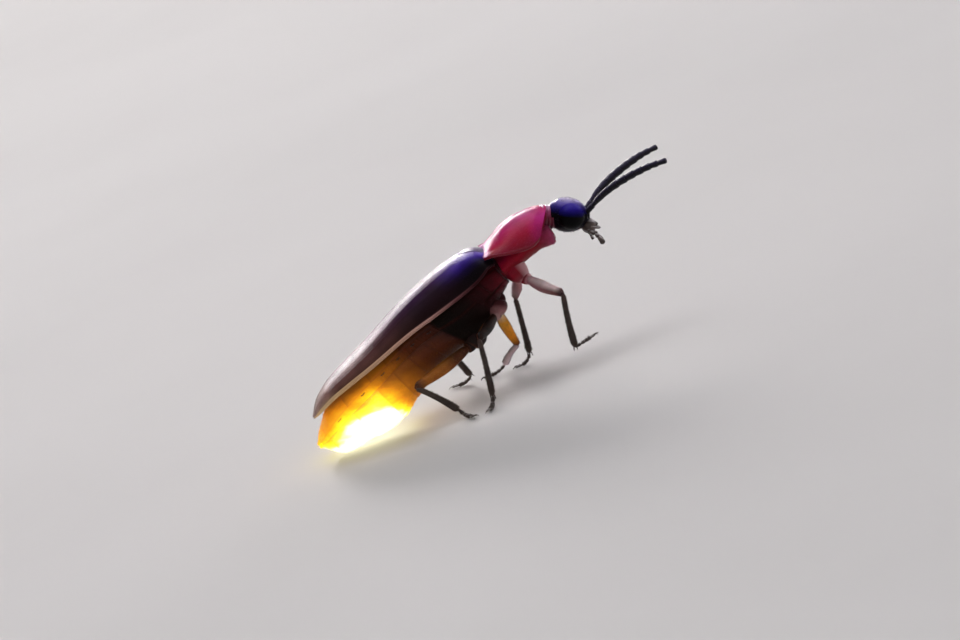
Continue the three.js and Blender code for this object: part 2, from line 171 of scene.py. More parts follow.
def joined_object(name, sheets, material, sharp=42):
    """Joins sheets into one object whose faces point out. Edges that turn by more than sharp stay hard."""
    corners, faces, start = [], [], 0
    marks = {key: [] for key in sheets[0][2]}
    marks["tile"] = []
    for tile, (points, polygons, values) in enumerate(sheets):
        corners.append(points)
        faces += [[start + corner for corner in polygon] for polygon in polygons]
        start += len(points)
        for key in marks:
            marks[key].append(values.get(key, np.full(len(points), float(tile))))
    mesh = bpy.data.meshes.new(name)
    mesh.from_pydata((np.vstack(corners) * MM).tolist(), [], faces)
    for key, values in marks.items():
        mesh.attributes.new(key, "FLOAT", "POINT").data.foreach_set("value", np.concatenate(values))
    shape = bmesh.new()
    shape.from_mesh(mesh)
    bmesh.ops.recalc_face_normals(shape, faces=shape.faces)
    shape.to_mesh(mesh)
    shape.free()
    mesh.shade_smooth()
    mesh.set_sharp_from_angle(angle=math.radians(sharp))
    mesh.materials.append(material)
    made = bpy.data.objects.new(name, mesh)
    bpy.context.scene.collection.objects.link(made)
    return made


def make_piece(name, sheets, material, slot, *nodes, sharp=42):
    """Makes a piece of the insect, with the plain nodes that it stands for."""
    piece = joined_object(name, sheets, material, sharp)
    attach(piece, "root")
    if nodes:
        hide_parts(*nodes)
    return piece


def paint(code):
    """A screen colour, such as 0xd8a040, as linear light."""
    channels = [(code >> shift & 255) / 255 for shift in (16, 8, 0)]
    return [c / 12.92 if c <= 0.04045 else ((c + 0.055) / 1.055) ** 2.4 for c in channels] + [1.0]


def wire(tree, kind, sockets=(), **settings):
    """Adds a shader node, sets its properties, and fills its sockets with values or links."""
    made = tree.nodes.new("ShaderNode" + kind)
    for name, value in settings.items():
        setattr(made, name, value)
    for name, value in dict(sockets).items():
        if isinstance(value, bpy.types.NodeSocket):
            tree.links.new(value, made.inputs[name])
        else:
            made.inputs[name].default_value = value
    return made


def ramp(tree, factor, *stops):
    """Colours along a factor, as (place, screen colour) stops."""
    made = wire(tree, "ValToRGB", {"Fac": factor})
    elements = made.color_ramp.elements
    while len(elements) < len(stops):
        elements.new(1.0)
    for element, (place, code) in zip(elements, stops):
        element.position = place
        element.color = paint(code)
    return made.outputs["Color"]


def mark(tree, name):
    """What a piece's own mark says at each point, such as how far along it is."""
    return wire(tree, "Attribute", attribute_name=name).outputs["Fac"]


def blended(tree, factor, first, second):
    return wire(tree, "Mix", {0: factor, 6: first, 7: second}, data_type="RGBA").outputs[2]


def progress(tree, value, low, high, most=1.0, how="LINEAR"):
    """How far a value has gone from low to high, from 0 to most."""
    sockets = {"Value": value, "From Min": low, "From Max": high, "To Max": most}
    return wire(tree, "MapRange", sockets, interpolation_type=how).outputs["Result"]


def new_group(name, given, made):
    """An empty node group, with the sockets given to it and those it makes, as names and their kinds."""
    group = bpy.data.node_groups.new(name, "ShaderNodeTree")
    for in_out, sockets in (("INPUT", given), ("OUTPUT", made)):
        for socket, kind in sockets.items():
            group.interface.new_socket(socket, in_out=in_out, socket_type="NodeSocket" + kind)
    return group, group.nodes.new("NodeGroupInput").outputs, group.nodes.new("NodeGroupOutput").inputs


def stretched(tree, x, y, z):
    """The place on the piece in millimetres, times a stretch along each axis."""
    place = wire(tree, "TexCoord").outputs["Object"]
    return wire(tree, "VectorMath", {0: place, 1: (x / MM, y / MM, z / MM)}, operation="MULTIPLY").outputs[0]


def product(tree, first, second, added=0.0):
    return wire(tree, "Math", {0: first, 1: second, 2: added}, operation="MULTIPLY_ADD").outputs[0]


def cuticle_group():
    """Insect shell close up: round pits between fine wrinkles. Sizes are in pits per millimetre."""
    sizes = {"Pits per mm": "Float", "Pit Depth": "Float", "Grain Depth": "Float"}
    group, given, made = new_group("cuticle", sizes, {"Height": "Float", "Shade": "Float"})
    place = stretched(group, 1, 1, 1)
    cells = wire(group, "TexVoronoi", {"Vector": place, "Scale": given["Pits per mm"], "Randomness": 0.85})
    pits = progress(group, cells.outputs["Distance"], 0.08, 0.36, how="SMOOTHSTEP")
    fine = product(group, given["Pits per mm"], 3.2)
    grain = wire(group, "TexNoise", {"Vector": place, "Scale": fine, "Detail": 4.0, "Roughness": 0.6})
    dents = product(group, pits, given["Pit Depth"])
    group.links.new(product(group, grain.outputs["Fac"], given["Grain Depth"], dents), made["Height"])
    group.links.new(pits, made["Shade"])
    return group


def drift_group():
    """The slow colour drift of a real shell: a colour wanders into a second one, in cloudy patches."""
    colours = {"Color": "Color", "Other": "Color", "Patches per mm": "Float", "Amount": "Float"}
    group, given, made = new_group("drift", colours, {"Color": "Color"})
    place = stretched(group, 1, 1, 1)
    cloud = wire(group, "TexNoise", {"Vector": place, "Scale": given["Patches per mm"], "Detail": 3.0})
    patch = progress(group, cloud.outputs["Fac"], 0.35, 0.7, how="SMOOTHSTEP")
    share = product(group, patch, given["Amount"])
    group.links.new(blended(group, share, given["Color"], given["Other"]), made["Color"])
    return group


def wander_group():
    """Uneven light behind a thin shell: a 0 to 1 value that wavers in soft streaks where it isn't near 0."""
    group, given, made = new_group("wander", {"Light": "Float", "Amount": "Float"}, {"Light": "Float"})
    place = stretched(group, 0.7, 1.1, 2.0)
    noise = wire(group, "TexNoise", {"Vector": place, "Scale": 0.8, "Detail": 3.0})
    around = wire(group, "Math", {0: noise.outputs["Fac"], 1: 0.5}, operation="SUBTRACT").outputs[0]
    share = product(group, given["Light"], given["Amount"])
    group.links.new(product(group, around, share, given["Light"]), made["Light"])
    return group


CUTICLE = cuticle_group()
DRIFT = drift_group()
WANDER = wander_group()


def shell_material(name, colours, pits, relief, gloss, glow=None, **look):
    """A shell finish. colours and glow turn a material's tree into a colour socket; pits is (pits per mm,
    pit depth, grain depth), relief the deepest dent in mm, and gloss the roughness from pit to ridge."""
    material = bpy.data.materials.new(name)
    material.use_nodes = True
    tree = material.node_tree
    shader = tree.nodes["Principled BSDF"]
    cuticle = wire(tree, "Group", node_tree=CUTICLE)
    for socket, value in zip(("Pits per mm", "Pit Depth", "Grain Depth"), pits):
        cuticle.inputs[socket].default_value = value
    dents = {"Height": cuticle.outputs["Height"], "Distance": relief * MM, "Strength": 1.0}
    bump = wire(tree, "Bump", dents)
    gloss_range = {"Value": cuticle.outputs["Shade"], "To Min": gloss[0], "To Max": gloss[1]}
    rough = wire(tree, "MapRange", gloss_range)
    tree.links.new(colours(tree), shader.inputs["Base Color"])
    tree.links.new(rough.outputs["Result"], shader.inputs["Roughness"])
    tree.links.new(bump.outputs["Normal"], shader.inputs["Normal"])
    if glow:
        tree.links.new(glow(tree), shader.inputs["Emission Color"])
    for socket, value in look.items():
        shader.inputs[socket.replace("_", " ").title().replace("Ior", "IOR")].default_value = value
    return material


def plain(code):
    """One screen colour all over."""
    return lambda tree: paint(code)


def along(name, *stops):
    """Colours that follow one of a piece's marks, as (place, screen colour) stops."""
    return lambda tree: ramp(tree, mark(tree, name), *stops)


def changing(name, low, high, first, second, **fade):
    """Colours that go from the first ones to the second as one of a piece's marks goes from low to high."""
    def colours(tree):
        share = progress(tree, mark(tree, name), low, high, **fade)
        return blended(tree, share, first(tree), second(tree))

    return colours


def clouded(colours, other, patches, amount):
    """Colours that wander into another one, in so many patches per millimetre."""
    def drifting(tree):
        patchy = {"Color": colours(tree), "Other": paint(other), "Patches per mm": patches, "Amount": amount}
        return wire(tree, "Group", patchy, node_tree=DRIFT).outputs["Color"]

    return drifting


def lantern_light(back, depth):
    """How much painted lantern light the abdomen's colour and glow show, from black (0) to white hot (1), at
    a distance behind the waist and a depth below the back."""
    at_back = through((3, 0.04), (3.5, 0.11), (4, 0.14), (5, 0.2), (6, 0.32), (7, 0.4), (8, 0.42))
    at_belly = through(
        (3, 0.05), (3.5, 0.12), (4, 0.19), (5, 0.29), (6, 0.44), (7, 0.66), (7.6, 0.93), (8.1, 1.12),
        (10.4, 1.12), (ABDOMEN_END, 0.95),
    )
    downward = through((0.4, 0), (0.8, 0.33), (1.2, 0.5), (1.6, 0.68), (2, 0.82), (2.4, 0.94), (2.8, 1))
    return at_back(back) + (at_belly(back) - at_back(back)) * downward(depth)


def hull_light(back, angle):
    return lantern_light(back, -(body_widest_level(back) + hull_rise(back, angle)))


def inner_light(tree):
    sockets = {"Light": mark(tree, "light"), "Amount": 0.42}
    return wire(tree, "Group", sockets, node_tree=WANDER).outputs["Light"]


# The belly's colour: painted light of the lantern shining through the shell, from black to white hot.
def lantern_lit_belly(tree):
    return ramp(
        tree, inner_light(tree),
        (0, 0x0a0305), (0.12, 0x3a0e08), (0.25, 0x602404), (0.4, 0x803c04), (0.52, 0xa0580a),
        (0.64, 0xbc7a10), (0.74, 0xd09c1a), (0.86, 0xd4ba30), (1, 0xd8d090),
    )


# The glow: the lantern windows' own light, and painted glow of it on the plates and skin in front of them.
def lantern_and_painted_glow(tree):
    return ramp(
        tree, inner_light(tree),
        (0.28, 0x000000), (0.4, 0x341c00), (0.52, 0x5f3400), (0.64, 0x9a5a00), (0.74, 0xc88600),
        (0.84, 0xe6c400), (0.92, 0xeee210), (1, 0xfaf6d8),
    )


GLOW_STRENGTH = 1.3
lantern_lit_colours = clouded(lantern_lit_belly, 0x5a2408, 2.2, 0.22)
membrane_finish = shell_material(
    "membrane", lantern_lit_colours, (16, 0.15, 0.8), 0.014, (0.58, 0.5), lantern_and_painted_glow,
    emission_strength=GLOW_STRENGTH, specular_ior_level=0.12,
    subsurface_weight=0.2, subsurface_scale=0.3 * MM,
)
MEMBRANE_SWELL = 0.952
FOLD_LENGTH = 0.21
FOLD_DEPTH = 0.008
MEMBRANE_START = 0.25
MEMBRANE_SHORTER = 0.2
MEMBRANE_ROUND = 0.8
back = np.linspace(MEMBRANE_START, ABDOMEN_END - MEMBRANE_SHORTER, 300)[:, None]
angle = full_turn(96)[None, :]
flank = bump_at(np.abs(np.sin(angle)) - 1, 0.12)
swell = MEMBRANE_SWELL + FOLD_DEPTH * flank * np.sin(2 * math.pi * back / FOLD_LENGTH)
swell = swell * np.sqrt(1 - 0.9 * np.clip((back - ABDOMEN_END + 0.9) / MEMBRANE_ROUND, 0, 1) ** 2)
make_piece(
    "body_membrane", [solid(hull(back, angle, swell), light=hull_light(back, angle))], membrane_finish,
    "abdomen",
)

# The abdomen's plates: for each segment a belly plate and a back plate of thin, springy shell, seated on
# the membrane and sliding over the front of the next. Their colour, dark red at the thorax, then orange,
# then golden, and their glow are painted light of the lantern shining through the shell. The two lantern
# segments' belly plates are clear windows over the light, white hot below.
QUARTER = math.pi / 2
PLATE_THICKNESS = 0.035  # a share of the body's half width
PLATE_OVERLAP = 0.14
PLATE_LIFT = 0.014
EDGE_THINNING = 0.03  # how far in from a side edge a plate thins, as a share of its breadth
EDGE_SINK = 0.018
TIP_ROUND = 0.8
RIM_WIDTH = 0.16
EDGE_SHADE = 0.05  # how much less light a plate's thick edge lets through
BELLY_EDGE = math.radians(97)
BACK_EDGE = math.radians(80)


def plate(outer, inner, **marks):
    """A closed thin shell between an outer and an inner sheet of points."""
    rows, columns = outer.shape[:2]
    ring = np.concatenate([outer, inner[:, ::-1]], axis=1)
    wrapped = {}
    for name, value in marks.items():
        value = np.broadcast_to(value, (rows, columns))
        wrapped[name] = np.concatenate([value, value[:, ::-1]], axis=1)
    across = np.broadcast_to(np.linspace(0, 1, columns), (rows, columns))
    wrapped["span"] = np.concatenate([across, across[:, ::-1]], axis=1)
    wrapped["outer"] = np.concatenate([np.ones((rows, columns)), np.zeros((rows, columns))], axis=1)
    corners, faces, values = lattice(ring, closed=True, **wrapped)
    for row in (0, rows - 1):
        first = row * 2 * columns
        for j in range(columns - 1):
            far = first + 2 * columns - 1 - j
            faces.append([first + j, first + j + 1, far - 1, far])
    return corners, faces, values


def rim_of(run, span, length, width):
    """1 at a plate's edge, fading to 0 at some millimetres inside it."""
    to_edge = np.minimum(np.minimum(run, 1 - run) * length, np.minimum(span, 1 - span) * width)
    return np.clip(1 - to_edge / RIM_WIDTH, 0, 1)


def smoothstep(value, low, high):
    t = np.clip((value - low) / (high - low), 0, 1)
    return t * t * (3 - 2 * t)


def body_plate(front, rear, edges, rows=26, columns=60, tuck=0.03, groove=None, closing=0.0):
    """A plate on the hull, from front to rear, between two edge angles, each (at front, at rear).
    Its front dips under the plate before it by tuck, and its rear stands over the next one.
    closing, from 0 to 1, draws its rear in to a round tip."""
    run = np.linspace(0, 1, rows)[:, None]
    span = np.linspace(0, 1, columns)[None, :]
    low, high = [first + (last - first) * run for first, last in edges]
    angle = low + (high - low) * span
    back = front + (rear - front) * run + 0 * span
    rise = through(
        (0, -tuck), (0.18, -0.25 * tuck), (0.4, 0), (0.86, PLATE_LIFT), (0.95, PLATE_LIFT),
        (1, 0.2 * PLATE_LIFT),
    )
    side = 1 - 0.9 * (bump_at(span, EDGE_THINNING) + bump_at(1 - span, EDGE_THINNING))
    swell = 1 + rise(run) - EDGE_SINK * (1 - side)
    swell = swell * np.sqrt(1 - closing * smoothstep(back, rear - TIP_ROUND, rear) ** 2)
    if groove is not None:
        swell = swell - groove(run, span)
    thickness = PLATE_THICKNESS * (0.35 + 0.65 * side)
    half_width = float(body_half_width((front + rear) / 2))
    rim = rim_of(run, span, rear - front, abs(float(high[0, 0] - low[0, 0])) * half_width)
    return plate(
        hull(back, angle, swell), hull(back, angle, swell - thickness),
        light=hull_light(back, angle) - EDGE_SHADE * rim, rim=rim, run=run, aft=back / ABDOMEN_END,
    )


belly_finish = shell_material(
    "belly_plate", lantern_lit_colours, (14, 0.3, 0.5), 0.014, (0.52, 0.4), lantern_and_painted_glow,
    emission_strength=GLOW_STRENGTH, specular_ior_level=0.2,
    subsurface_weight=0.15, subsurface_scale=0.3 * MM,
)
lantern_finish = shell_material(
    "lantern_window", lantern_lit_colours, (6, 0.12, 0.5), 0.012, (0.34, 0.26), lantern_and_painted_glow,
    emission_strength=GLOW_STRENGTH, coat_weight=0.6, coat_roughness=0.1,
    subsurface_weight=0.3, subsurface_scale=0.4 * MM,
)
SEGMENT_ENDS = {
    "abdomen_1": 4.5, "abdomen_2": 5.55, "abdomen_3": 6.6, "abdomen_4": 7.65,
    "lantern_front": 9.2, "lantern_rear": 10.85, "abdomen_tip": ABDOMEN_END - 0.02,
}
TIP_CLOSING = 0.82
belly_edges = [(BELLY_EDGE, BELLY_EDGE), (4 * QUARTER - BELLY_EDGE, 4 * QUARTER - BELLY_EDGE)]
back_edges = [(-BACK_EDGE, -BACK_EDGE), (BACK_EDGE, BACK_EDGE)]
belly_plates = []
start = THORAX_END
for name, end in SEGMENT_ENDS.items():
    rear, closing = (end, TIP_CLOSING) if name == "abdomen_tip" else (end + PLATE_OVERLAP, 0.0)
    finish, slot = (lantern_finish, "lantern") if name.startswith("lantern") else (belly_finish, "abdomen")
    belly = body_plate(start, rear, belly_edges, closing=closing)
    hind_back = body_plate(start, rear, back_edges, closing=closing)
    belly_plates.append(make_piece(name + "_belly_plate", [belly], finish, slot, name))
    belly_plates.append(make_piece(name + "_back_plate", [hind_back], belly_finish, "abdomen"))
    start = end

# The breathing holes: a small dark oval collar in the soft flank of each abdominal segment, on both sides.
# Each is a raised ring of horn round a slit, set in the membrane between the belly and back plates.
HOLE_ANGLE = math.radians(88.5)
HOLE_LENGTH = 0.1
HOLE_HEIGHT = 0.055
COLLAR_WIDTH = 0.35  # half of it, as a share of the hole
COLLAR_RISE = 0.012
horn_colours = clouded(plain(0x1c0d0c), 0x3a1a12, 6.0, 0.4)
horn_finish = shell_material("dark_horn", horn_colours, (20, 0.1, 0.3), 0.006, (0.4, 0.3), coat_weight=0.3)
collars = []
segment_starts = [THORAX_END, *list(SEGMENT_ENDS.values())[:-2]]
for side in (-1, 1):
    for first, last in zip(segment_starts, list(SEGMENT_ENDS.values())[:-1]):
        turn, tube = full_turn(20)[:, None], full_turn(8)[None, :]
        ring = 1 + COLLAR_WIDTH * np.cos(tube)
        place = (first + last) / 2 + HOLE_LENGTH * ring * np.cos(turn)
        height = side * (HOLE_ANGLE + HOLE_HEIGHT / 2 * ring * np.sin(turn))
        points = hull(place, height, MEMBRANE_SWELL + FOLD_DEPTH + COLLAR_RISE * np.sin(tube))
        around = np.concatenate([points, points[:1]], axis=0)
        corners, faces, values = lattice(around, closed=True)
        count = points.shape[0] * points.shape[1]
        faces = [[corner % count for corner in face] for face in faces]
        values = {key: value[:count] for key, value in values.items()}
        collars.append((corners[:count], faces, values))
make_piece("breathing_holes", collars, horn_finish, "abdomen")

# The thorax: hard plates that carry the middle and hind legs, dark red in front and black behind, each with
# a maroon rim where it thins to its seam. A broad breastplate lies below each ring, narrower plates stand on
# its flanks, and the back's two plates hide under the wing cases.
GROOVE_DEPTH = 0.03
red_to_black = along("aft", (0, 0x6c1020), (0.09, 0x340a10), (0.16, 0x140406), (0.24, 0x060203))
maroon_rimmed = changing("rim", 0.4, 1.0, red_to_black, plain(0x340a10), most=0.7)
thorax_colours = clouded(maroon_rimmed, 0x160608, 1.6, 0.35)
thorax_finish = shell_material(
    "thorax_shell", thorax_colours, (15, 0.5, 0.4), 0.012, (0.6, 0.48), specular_ior_level=0.06,
)


def midline_groove(run, span):
    return GROOVE_DEPTH * bump_at(span - 0.5, 0.012)


belly_wide = np.radians([(124, 118), (236, 242)])
breast_wide = np.radians([(102, 94), (258, 266)])
back_wide = np.radians([(-62, -64), (62, 64)])
thorax_plates = [
    make_piece(
        "middle_breastplate", [body_plate(0.14, 1.46, belly_wide, groove=midline_groove)],
        thorax_finish, "thorax", "mesothorax",
    ),
    make_piece(
        "hind_breastplate", [body_plate(1.44, THORAX_END + 0.1, breast_wide, 40, 90, groove=midline_groove)],
        thorax_finish, "thorax", "metathorax",
    ),
]
make_piece("middle_back_plate", [body_plate(0.14, 1.48, back_wide)], thorax_finish, "thorax")
make_piece("hind_back_plate", [body_plate(1.44, THORAX_END + 0.08, back_wide)], thorax_finish, "thorax")
flank_plates = {
    "front_flank_plates": (0.16, 0.86, [(64, 62), (122, 116)]),
    "middle_flank_plates": (0.88, 1.46, [(63, 66), (114, 116)]),
    "hind_flank_plates": (1.46, THORAX_END + 0.06, [(66, 68), (100, 92)]),
}
for name, (front, rear, angles) in flank_plates.items():
    left = np.radians(angles)
    sheets = [body_plate(front, rear, edges, 30, 30, tuck=0.02) for edges in (left, -left[::-1])]
    thorax_plates.append(make_piece(name, sheets, thorax_finish, "thorax"))

# The down: short stiff hairs that lie back over the shell, each rooted in its own pit, in the shell's own
# colour with a tip of another. Each is a bent three-sided spike. Here, those of the breast and belly.
STRAND_STEPS = np.array([0, 0, 0, 0.5, 0.5, 0.5, 1.0])  # how far along a hair each of its seven corners is
STRAND_FACES = np.array([[0, 1, 4, 3], [1, 2, 5, 4], [2, 0, 3, 5]])
STRAND_ENDS = np.array([[3, 4, 6], [4, 5, 6], [5, 3, 6], [2, 1, 0]])
BAKE_PATCH = 0.003
PATCH_CORNERS = np.array([[-1, -1], [1, -1], [0, -0.6], [-0.6, 0.2], [0.6, 0.2], [0, 0.4], [0, 1]]) / 2


def grounds_of(pieces):
    """The corner points, triangles and marks of some pieces, joined."""
    points, triangles, marks, start, tiles = [], [], {}, 0, 0
    for piece in pieces:
        mesh = piece.data
        mesh.calc_loop_triangles()
        corners = np.empty(3 * len(mesh.loop_triangles), int)
        mesh.loop_triangles.foreach_get("vertices", corners)
        places = np.empty(3 * len(mesh.vertices))
        mesh.vertices.foreach_get("co", places)
        points.append(places.reshape(-1, 3) / MM)
        triangles.append(corners.reshape(-1, 3) + start)
        for attribute in mesh.attributes:
            if attribute.data_type == "FLOAT" and attribute.domain == "POINT":
                values = np.empty(len(mesh.vertices))
                attribute.data.foreach_get("value", values)
                marks.setdefault(attribute.name, []).append(values + tiles * (attribute.name == "tile"))
        start += len(mesh.vertices)
        tiles = int(marks["tile"][-1].max()) + 1
    whole = {name: np.concatenate(values) for name, values in marks.items() if len(values) == len(points)}
    return np.vstack(points), np.vstack(triangles), whole


def unit(vectors):
    return vectors / np.linalg.norm(vectors, axis=-1, keepdims=True)


def down(name, pieces, count, length, lie, finish, slot, seed, stand=24, thick=0.006, where=None):
    """Hairs rooted in some pieces. lie is the way they lie, or one way for each piece's tile, stand is how
    many degrees they rise from the shell, and where says by normal and marks which places have hairs."""
    random = np.random.default_rng(seed)
    points, triangles, marks = grounds_of(pieces)
    a, b, c = points[triangles].transpose(1, 0, 2)
    normals = np.cross(b - a, c - a)
    weights = np.linalg.norm(normals, axis=1) + 1e-12
    normals = normals / weights[:, None]
    if where:
        weights = weights * where(normals, {key: value[triangles[:, 0]] for key, value in marks.items()})
    chosen = random.choice(len(triangles), count, p=weights / weights.sum())
    first, second = random.random((2, count))
    share = np.stack([1 - np.sqrt(first), np.sqrt(first) * (1 - second), np.sqrt(first) * second], axis=1)
    roots = (points[triangles[chosen]] * share[:, :, None]).sum(axis=1)
    marks = {key: (value[triangles[chosen]] * share).sum(axis=1) for key, value in marks.items()}
    normal = normals[chosen]
    tile = np.rint(marks["tile"]).astype(int)
    way = np.asarray(lie, float)
    if way.ndim == 2:
        way = way[tile]
    flat = unit(way - (way * normal).sum(axis=1, keepdims=True) * normal + 1e-9)
    swing = random.normal(0, 0.25, (count, 1))
    flat = flat * np.cos(swing) + np.cross(normal, flat) * np.sin(swing)
    rise = np.radians(stand) * random.uniform(0.6, 1.4, (count, 1))
    heading = flat * np.cos(rise) + normal * np.sin(rise)
    long = length * random.uniform(0.65, 1.2, (count, 1))
    side = unit(np.cross(heading, normal))
    above = np.cross(side, heading)
    middle_point = roots + long * 0.5 * heading
    tip = roots + long * (heading - 0.3 * np.sin(rise) * normal)
    round_it = [np.cos(turn) * side + np.sin(turn) * above for turn in np.radians([90, 210, 330])]
    root_corners = [roots - 0.6 * thick * normal + thick * out for out in round_it]
    middle_corners = [middle_point + 0.7 * thick * out for out in round_it]
    corners = np.stack([*root_corners, *middle_corners, tip], axis=1).reshape(-1, 3)
    start = len(STRAND_STEPS) * np.arange(count)[:, None, None]
    faces = (STRAND_FACES + start).reshape(-1, 4).tolist() + (STRAND_ENDS + start).reshape(-1, 3).tolist()
    mesh = bpy.data.meshes.new(name)
    mesh.from_pydata((corners * MM).tolist(), [], faces)
    marks["strand"] = np.zeros(count)
    for key, values in marks.items():
        values = np.tile(STRAND_STEPS, count) if key == "strand" else np.repeat(values, len(STRAND_STEPS))
        mesh.attributes.new(key, "FLOAT", "POINT").data.foreach_set("value", values)
    side_by_side = math.ceil(math.sqrt(tile.max() + 1))
    u = (tile % side_by_side + 0.03 + 0.94 * marks["run"]) / side_by_side
    v = (tile // side_by_side + 0.03 + 0.94 * marks["span"]) / side_by_side
    patches = (np.stack([u, v], axis=1)[:, None] + BAKE_PATCH * PATCH_CORNERS).reshape(-1, 2)
    loops = np.empty(len(mesh.loops), int)
    mesh.loops.foreach_get("vertex_index", loops)
    mesh.uv_layers.new(name="OFBake").data.foreach_set("uv", patches[loops].ravel())
    mesh.shade_smooth()
    mesh.materials.append(finish)
    coat = bpy.data.objects.new(name, mesh)
    bpy.context.scene.collection.objects.link(coat)
    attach(coat, "root")
    return coat


def down_finish(name, colours, tip, glow=None, **look):
    """The finish of hairs in a shell's own colours, with tips of a colour of their own."""
    return shell_material(
        name, changing("strand", 0, 1, colours, plain(tip)), (20, 0.0, 0.1), 0.001, (0.75, 0.7), glow,
        specular_ior_level=0.12, **look,
    )


BACKWARD = turned((-1, 0, 0), TRUNK_PITCH)


def on_outside(normals, marks):
    """Keeps hairs off a plate's inner face and off its thick edges."""
    return (marks["outer"] > 0.5) & (marks["rim"] < 0.8)


down(
    "breast_down", thorax_plates, 2600, 0.15, BACKWARD, down_finish("breast_down", thorax_colours, 0x2c1410),
    "thorax", 11, where=on_outside,
)
down(
    "belly_down", belly_plates, 5200, 0.13, BACKWARD,
    down_finish("belly_down", lantern_lit_colours, 0x9a6420, lantern_and_painted_glow, emission_strength=0.8 * GLOW_STRENGTH),
    "abdomen", 12, stand=15, where=on_outside,
)

# The wing cases: two leathery plates, arched over the back and closed along its middle. Each has a shoulder
# bump, three low ribs, a bead along the seam, and a pale margin turned down round its edge. They are black
# along the flank and mauve-brown towards the tip. Their pale seam, partly a real pale margin and partly
# painted highlight, widens and whitens towards the rear; the pale tip is painted highlight, and the violet
# at the shoulder a painted reflection.
CASE_LENGTH = 10.95
CASE_HALF_WIDTH = 2.28
SHOULDER_HALF_WIDTH = 1.9
SHOULDER_INSET = 0.22
SHOULDER_ROUND = 0.75
WIDEST_AT = 5.6
BLUNT_TIP = 0.004
CASE_THICKNESS = 0.13
RIM_STARTS = 0.962  # the flat rim's inner edge, as a share of the width
CASE_SQUARENESS = 3.0
RIBS = (0.24, 0.47, 0.7)
RIB_HEIGHT = 0.014
BEAD_HEIGHT = 0.03
SHOULDER_BUMP = 0.1
SEAM_HALF_GAP = 0.012
LIP_OUTLINE = np.array([[0.1, 0.3], [0.06, 0.62], [-0.12, 0.92], [-0.45, 1.05], [-0.9, 0.98], [-1.3, 0.78]])
case_ridge = through(
    (0, 0.16), (0.8, 0.6), (2.4, 0.8), (4.4, 0.78), (7, 0.46), (9.3, 0.26), (10.3, -0.02),
    (CASE_LENGTH, -0.45),
)
case_margin = through(
    (0, -0.3), (1.2, -0.5), (3, -0.38), (5, -0.16), (7, -0.12), (9.3, -0.08), (10.3, -0.24),
    (CASE_LENGTH, -0.5),
)
case_lip = through(
    (0, 0.07), (1, 0.11), (3, 0.13), (6, 0.16), (9, 0.17), (10.4, 0.13), (CASE_LENGTH, 0.03),
)


def case_half_width(back):
    sides = SHOULDER_HALF_WIDTH + (CASE_HALF_WIDTH - SHOULDER_HALF_WIDTH) * smoothstep(back, 0, WIDEST_AT)
    shoulder = SHOULDER_INSET * np.maximum(1 - back / SHOULDER_ROUND, 0) ** 2
    to_tip = np.clip((back - WIDEST_AT) / (CASE_LENGTH + BLUNT_TIP - WIDEST_AT), 0, 1)
    return (sides - shoulder) * (1 - to_tip**3.4) ** 0.5


def arch(across, squareness):
    """An arched plate's height, from 1 at its middle to 0 at its edge."""
    return np.maximum(1 - np.abs(across) ** squareness, 0) ** 0.85


def case_height(back, span):
    """The wing case's upper surface, with its ribs, beads and shoulder."""
    flat = np.minimum(span / RIM_STARTS, 1)
    smooth = case_margin(back) + (case_ridge(back) - case_margin(back)) * arch(flat, CASE_SQUARENESS)
    fade = smoothstep(back, 0.8, 2.2) * (1 - smoothstep(back, 8.6, 10.2))
    ribs = sum(bump_at(span - rib, 0.028) for rib in RIBS) * RIB_HEIGHT * fade
    edge_bead = BEAD_HEIGHT * bump_at(span - 0.985, 0.012)
    seam_bead = 0.8 * BEAD_HEIGHT * bump_at(span, 0.022) * smoothstep(back, 0.9, 1.4)
    shoulder = SHOULDER_BUMP * bump_at(back - 0.95, 0.55) * bump_at(span - 0.66, 0.16)
    under_pronotum = 0.16 * (1 - smoothstep(back, 0, 0.4))
    return smooth + ribs + edge_bead + seam_bead + shoulder - under_pronotum


def wing_case(side):
    """One wing case: its top, then the lip turned down round its edge, then its underside."""
    run = np.linspace(0, 1, 150)[:, None]
    back = CASE_LENGTH * np.sin(run * QUARTER) ** 0.9
    span = (1 - (1 - np.linspace(0, 1, 56)) ** 1.25)[None, :]
    width = case_half_width(back)
    lip = case_lip(back)
    out = SEAM_HALF_GAP + span * (width - SEAM_HALF_GAP)
    lip_out = np.maximum(width + lip * LIP_OUTLINE[:, 0], SEAM_HALF_GAP)
    lip_up = case_height(back, 1.0) - lip * LIP_OUTLINE[:, 1]
    under = span[:, ::-1][:, 8:]
    inner_out = SEAM_HALF_GAP + under * (width - SEAM_HALF_GAP)
    thickness = CASE_THICKNESS * (1 - 0.5 * smoothstep(back, 9.6, CASE_LENGTH))
    inner_up = case_height(back, under) - thickness
    across = np.concatenate([out, lip_out, inner_out], axis=1)
    up = np.concatenate([case_height(back, span), lip_up, inner_up], axis=1)
    points = on_trunk(stacked(-back, side * across, up))
    on_lip = np.ones((1, len(LIP_OUTLINE)))
    spans = np.concatenate([span, on_lip, under], axis=1)
    rim = np.concatenate([smoothstep(span, 0.952, 0.972), on_lip, 0 * under], axis=1)
    return solid(points, span=spans, rim=rim, length=back / CASE_LENGTH)
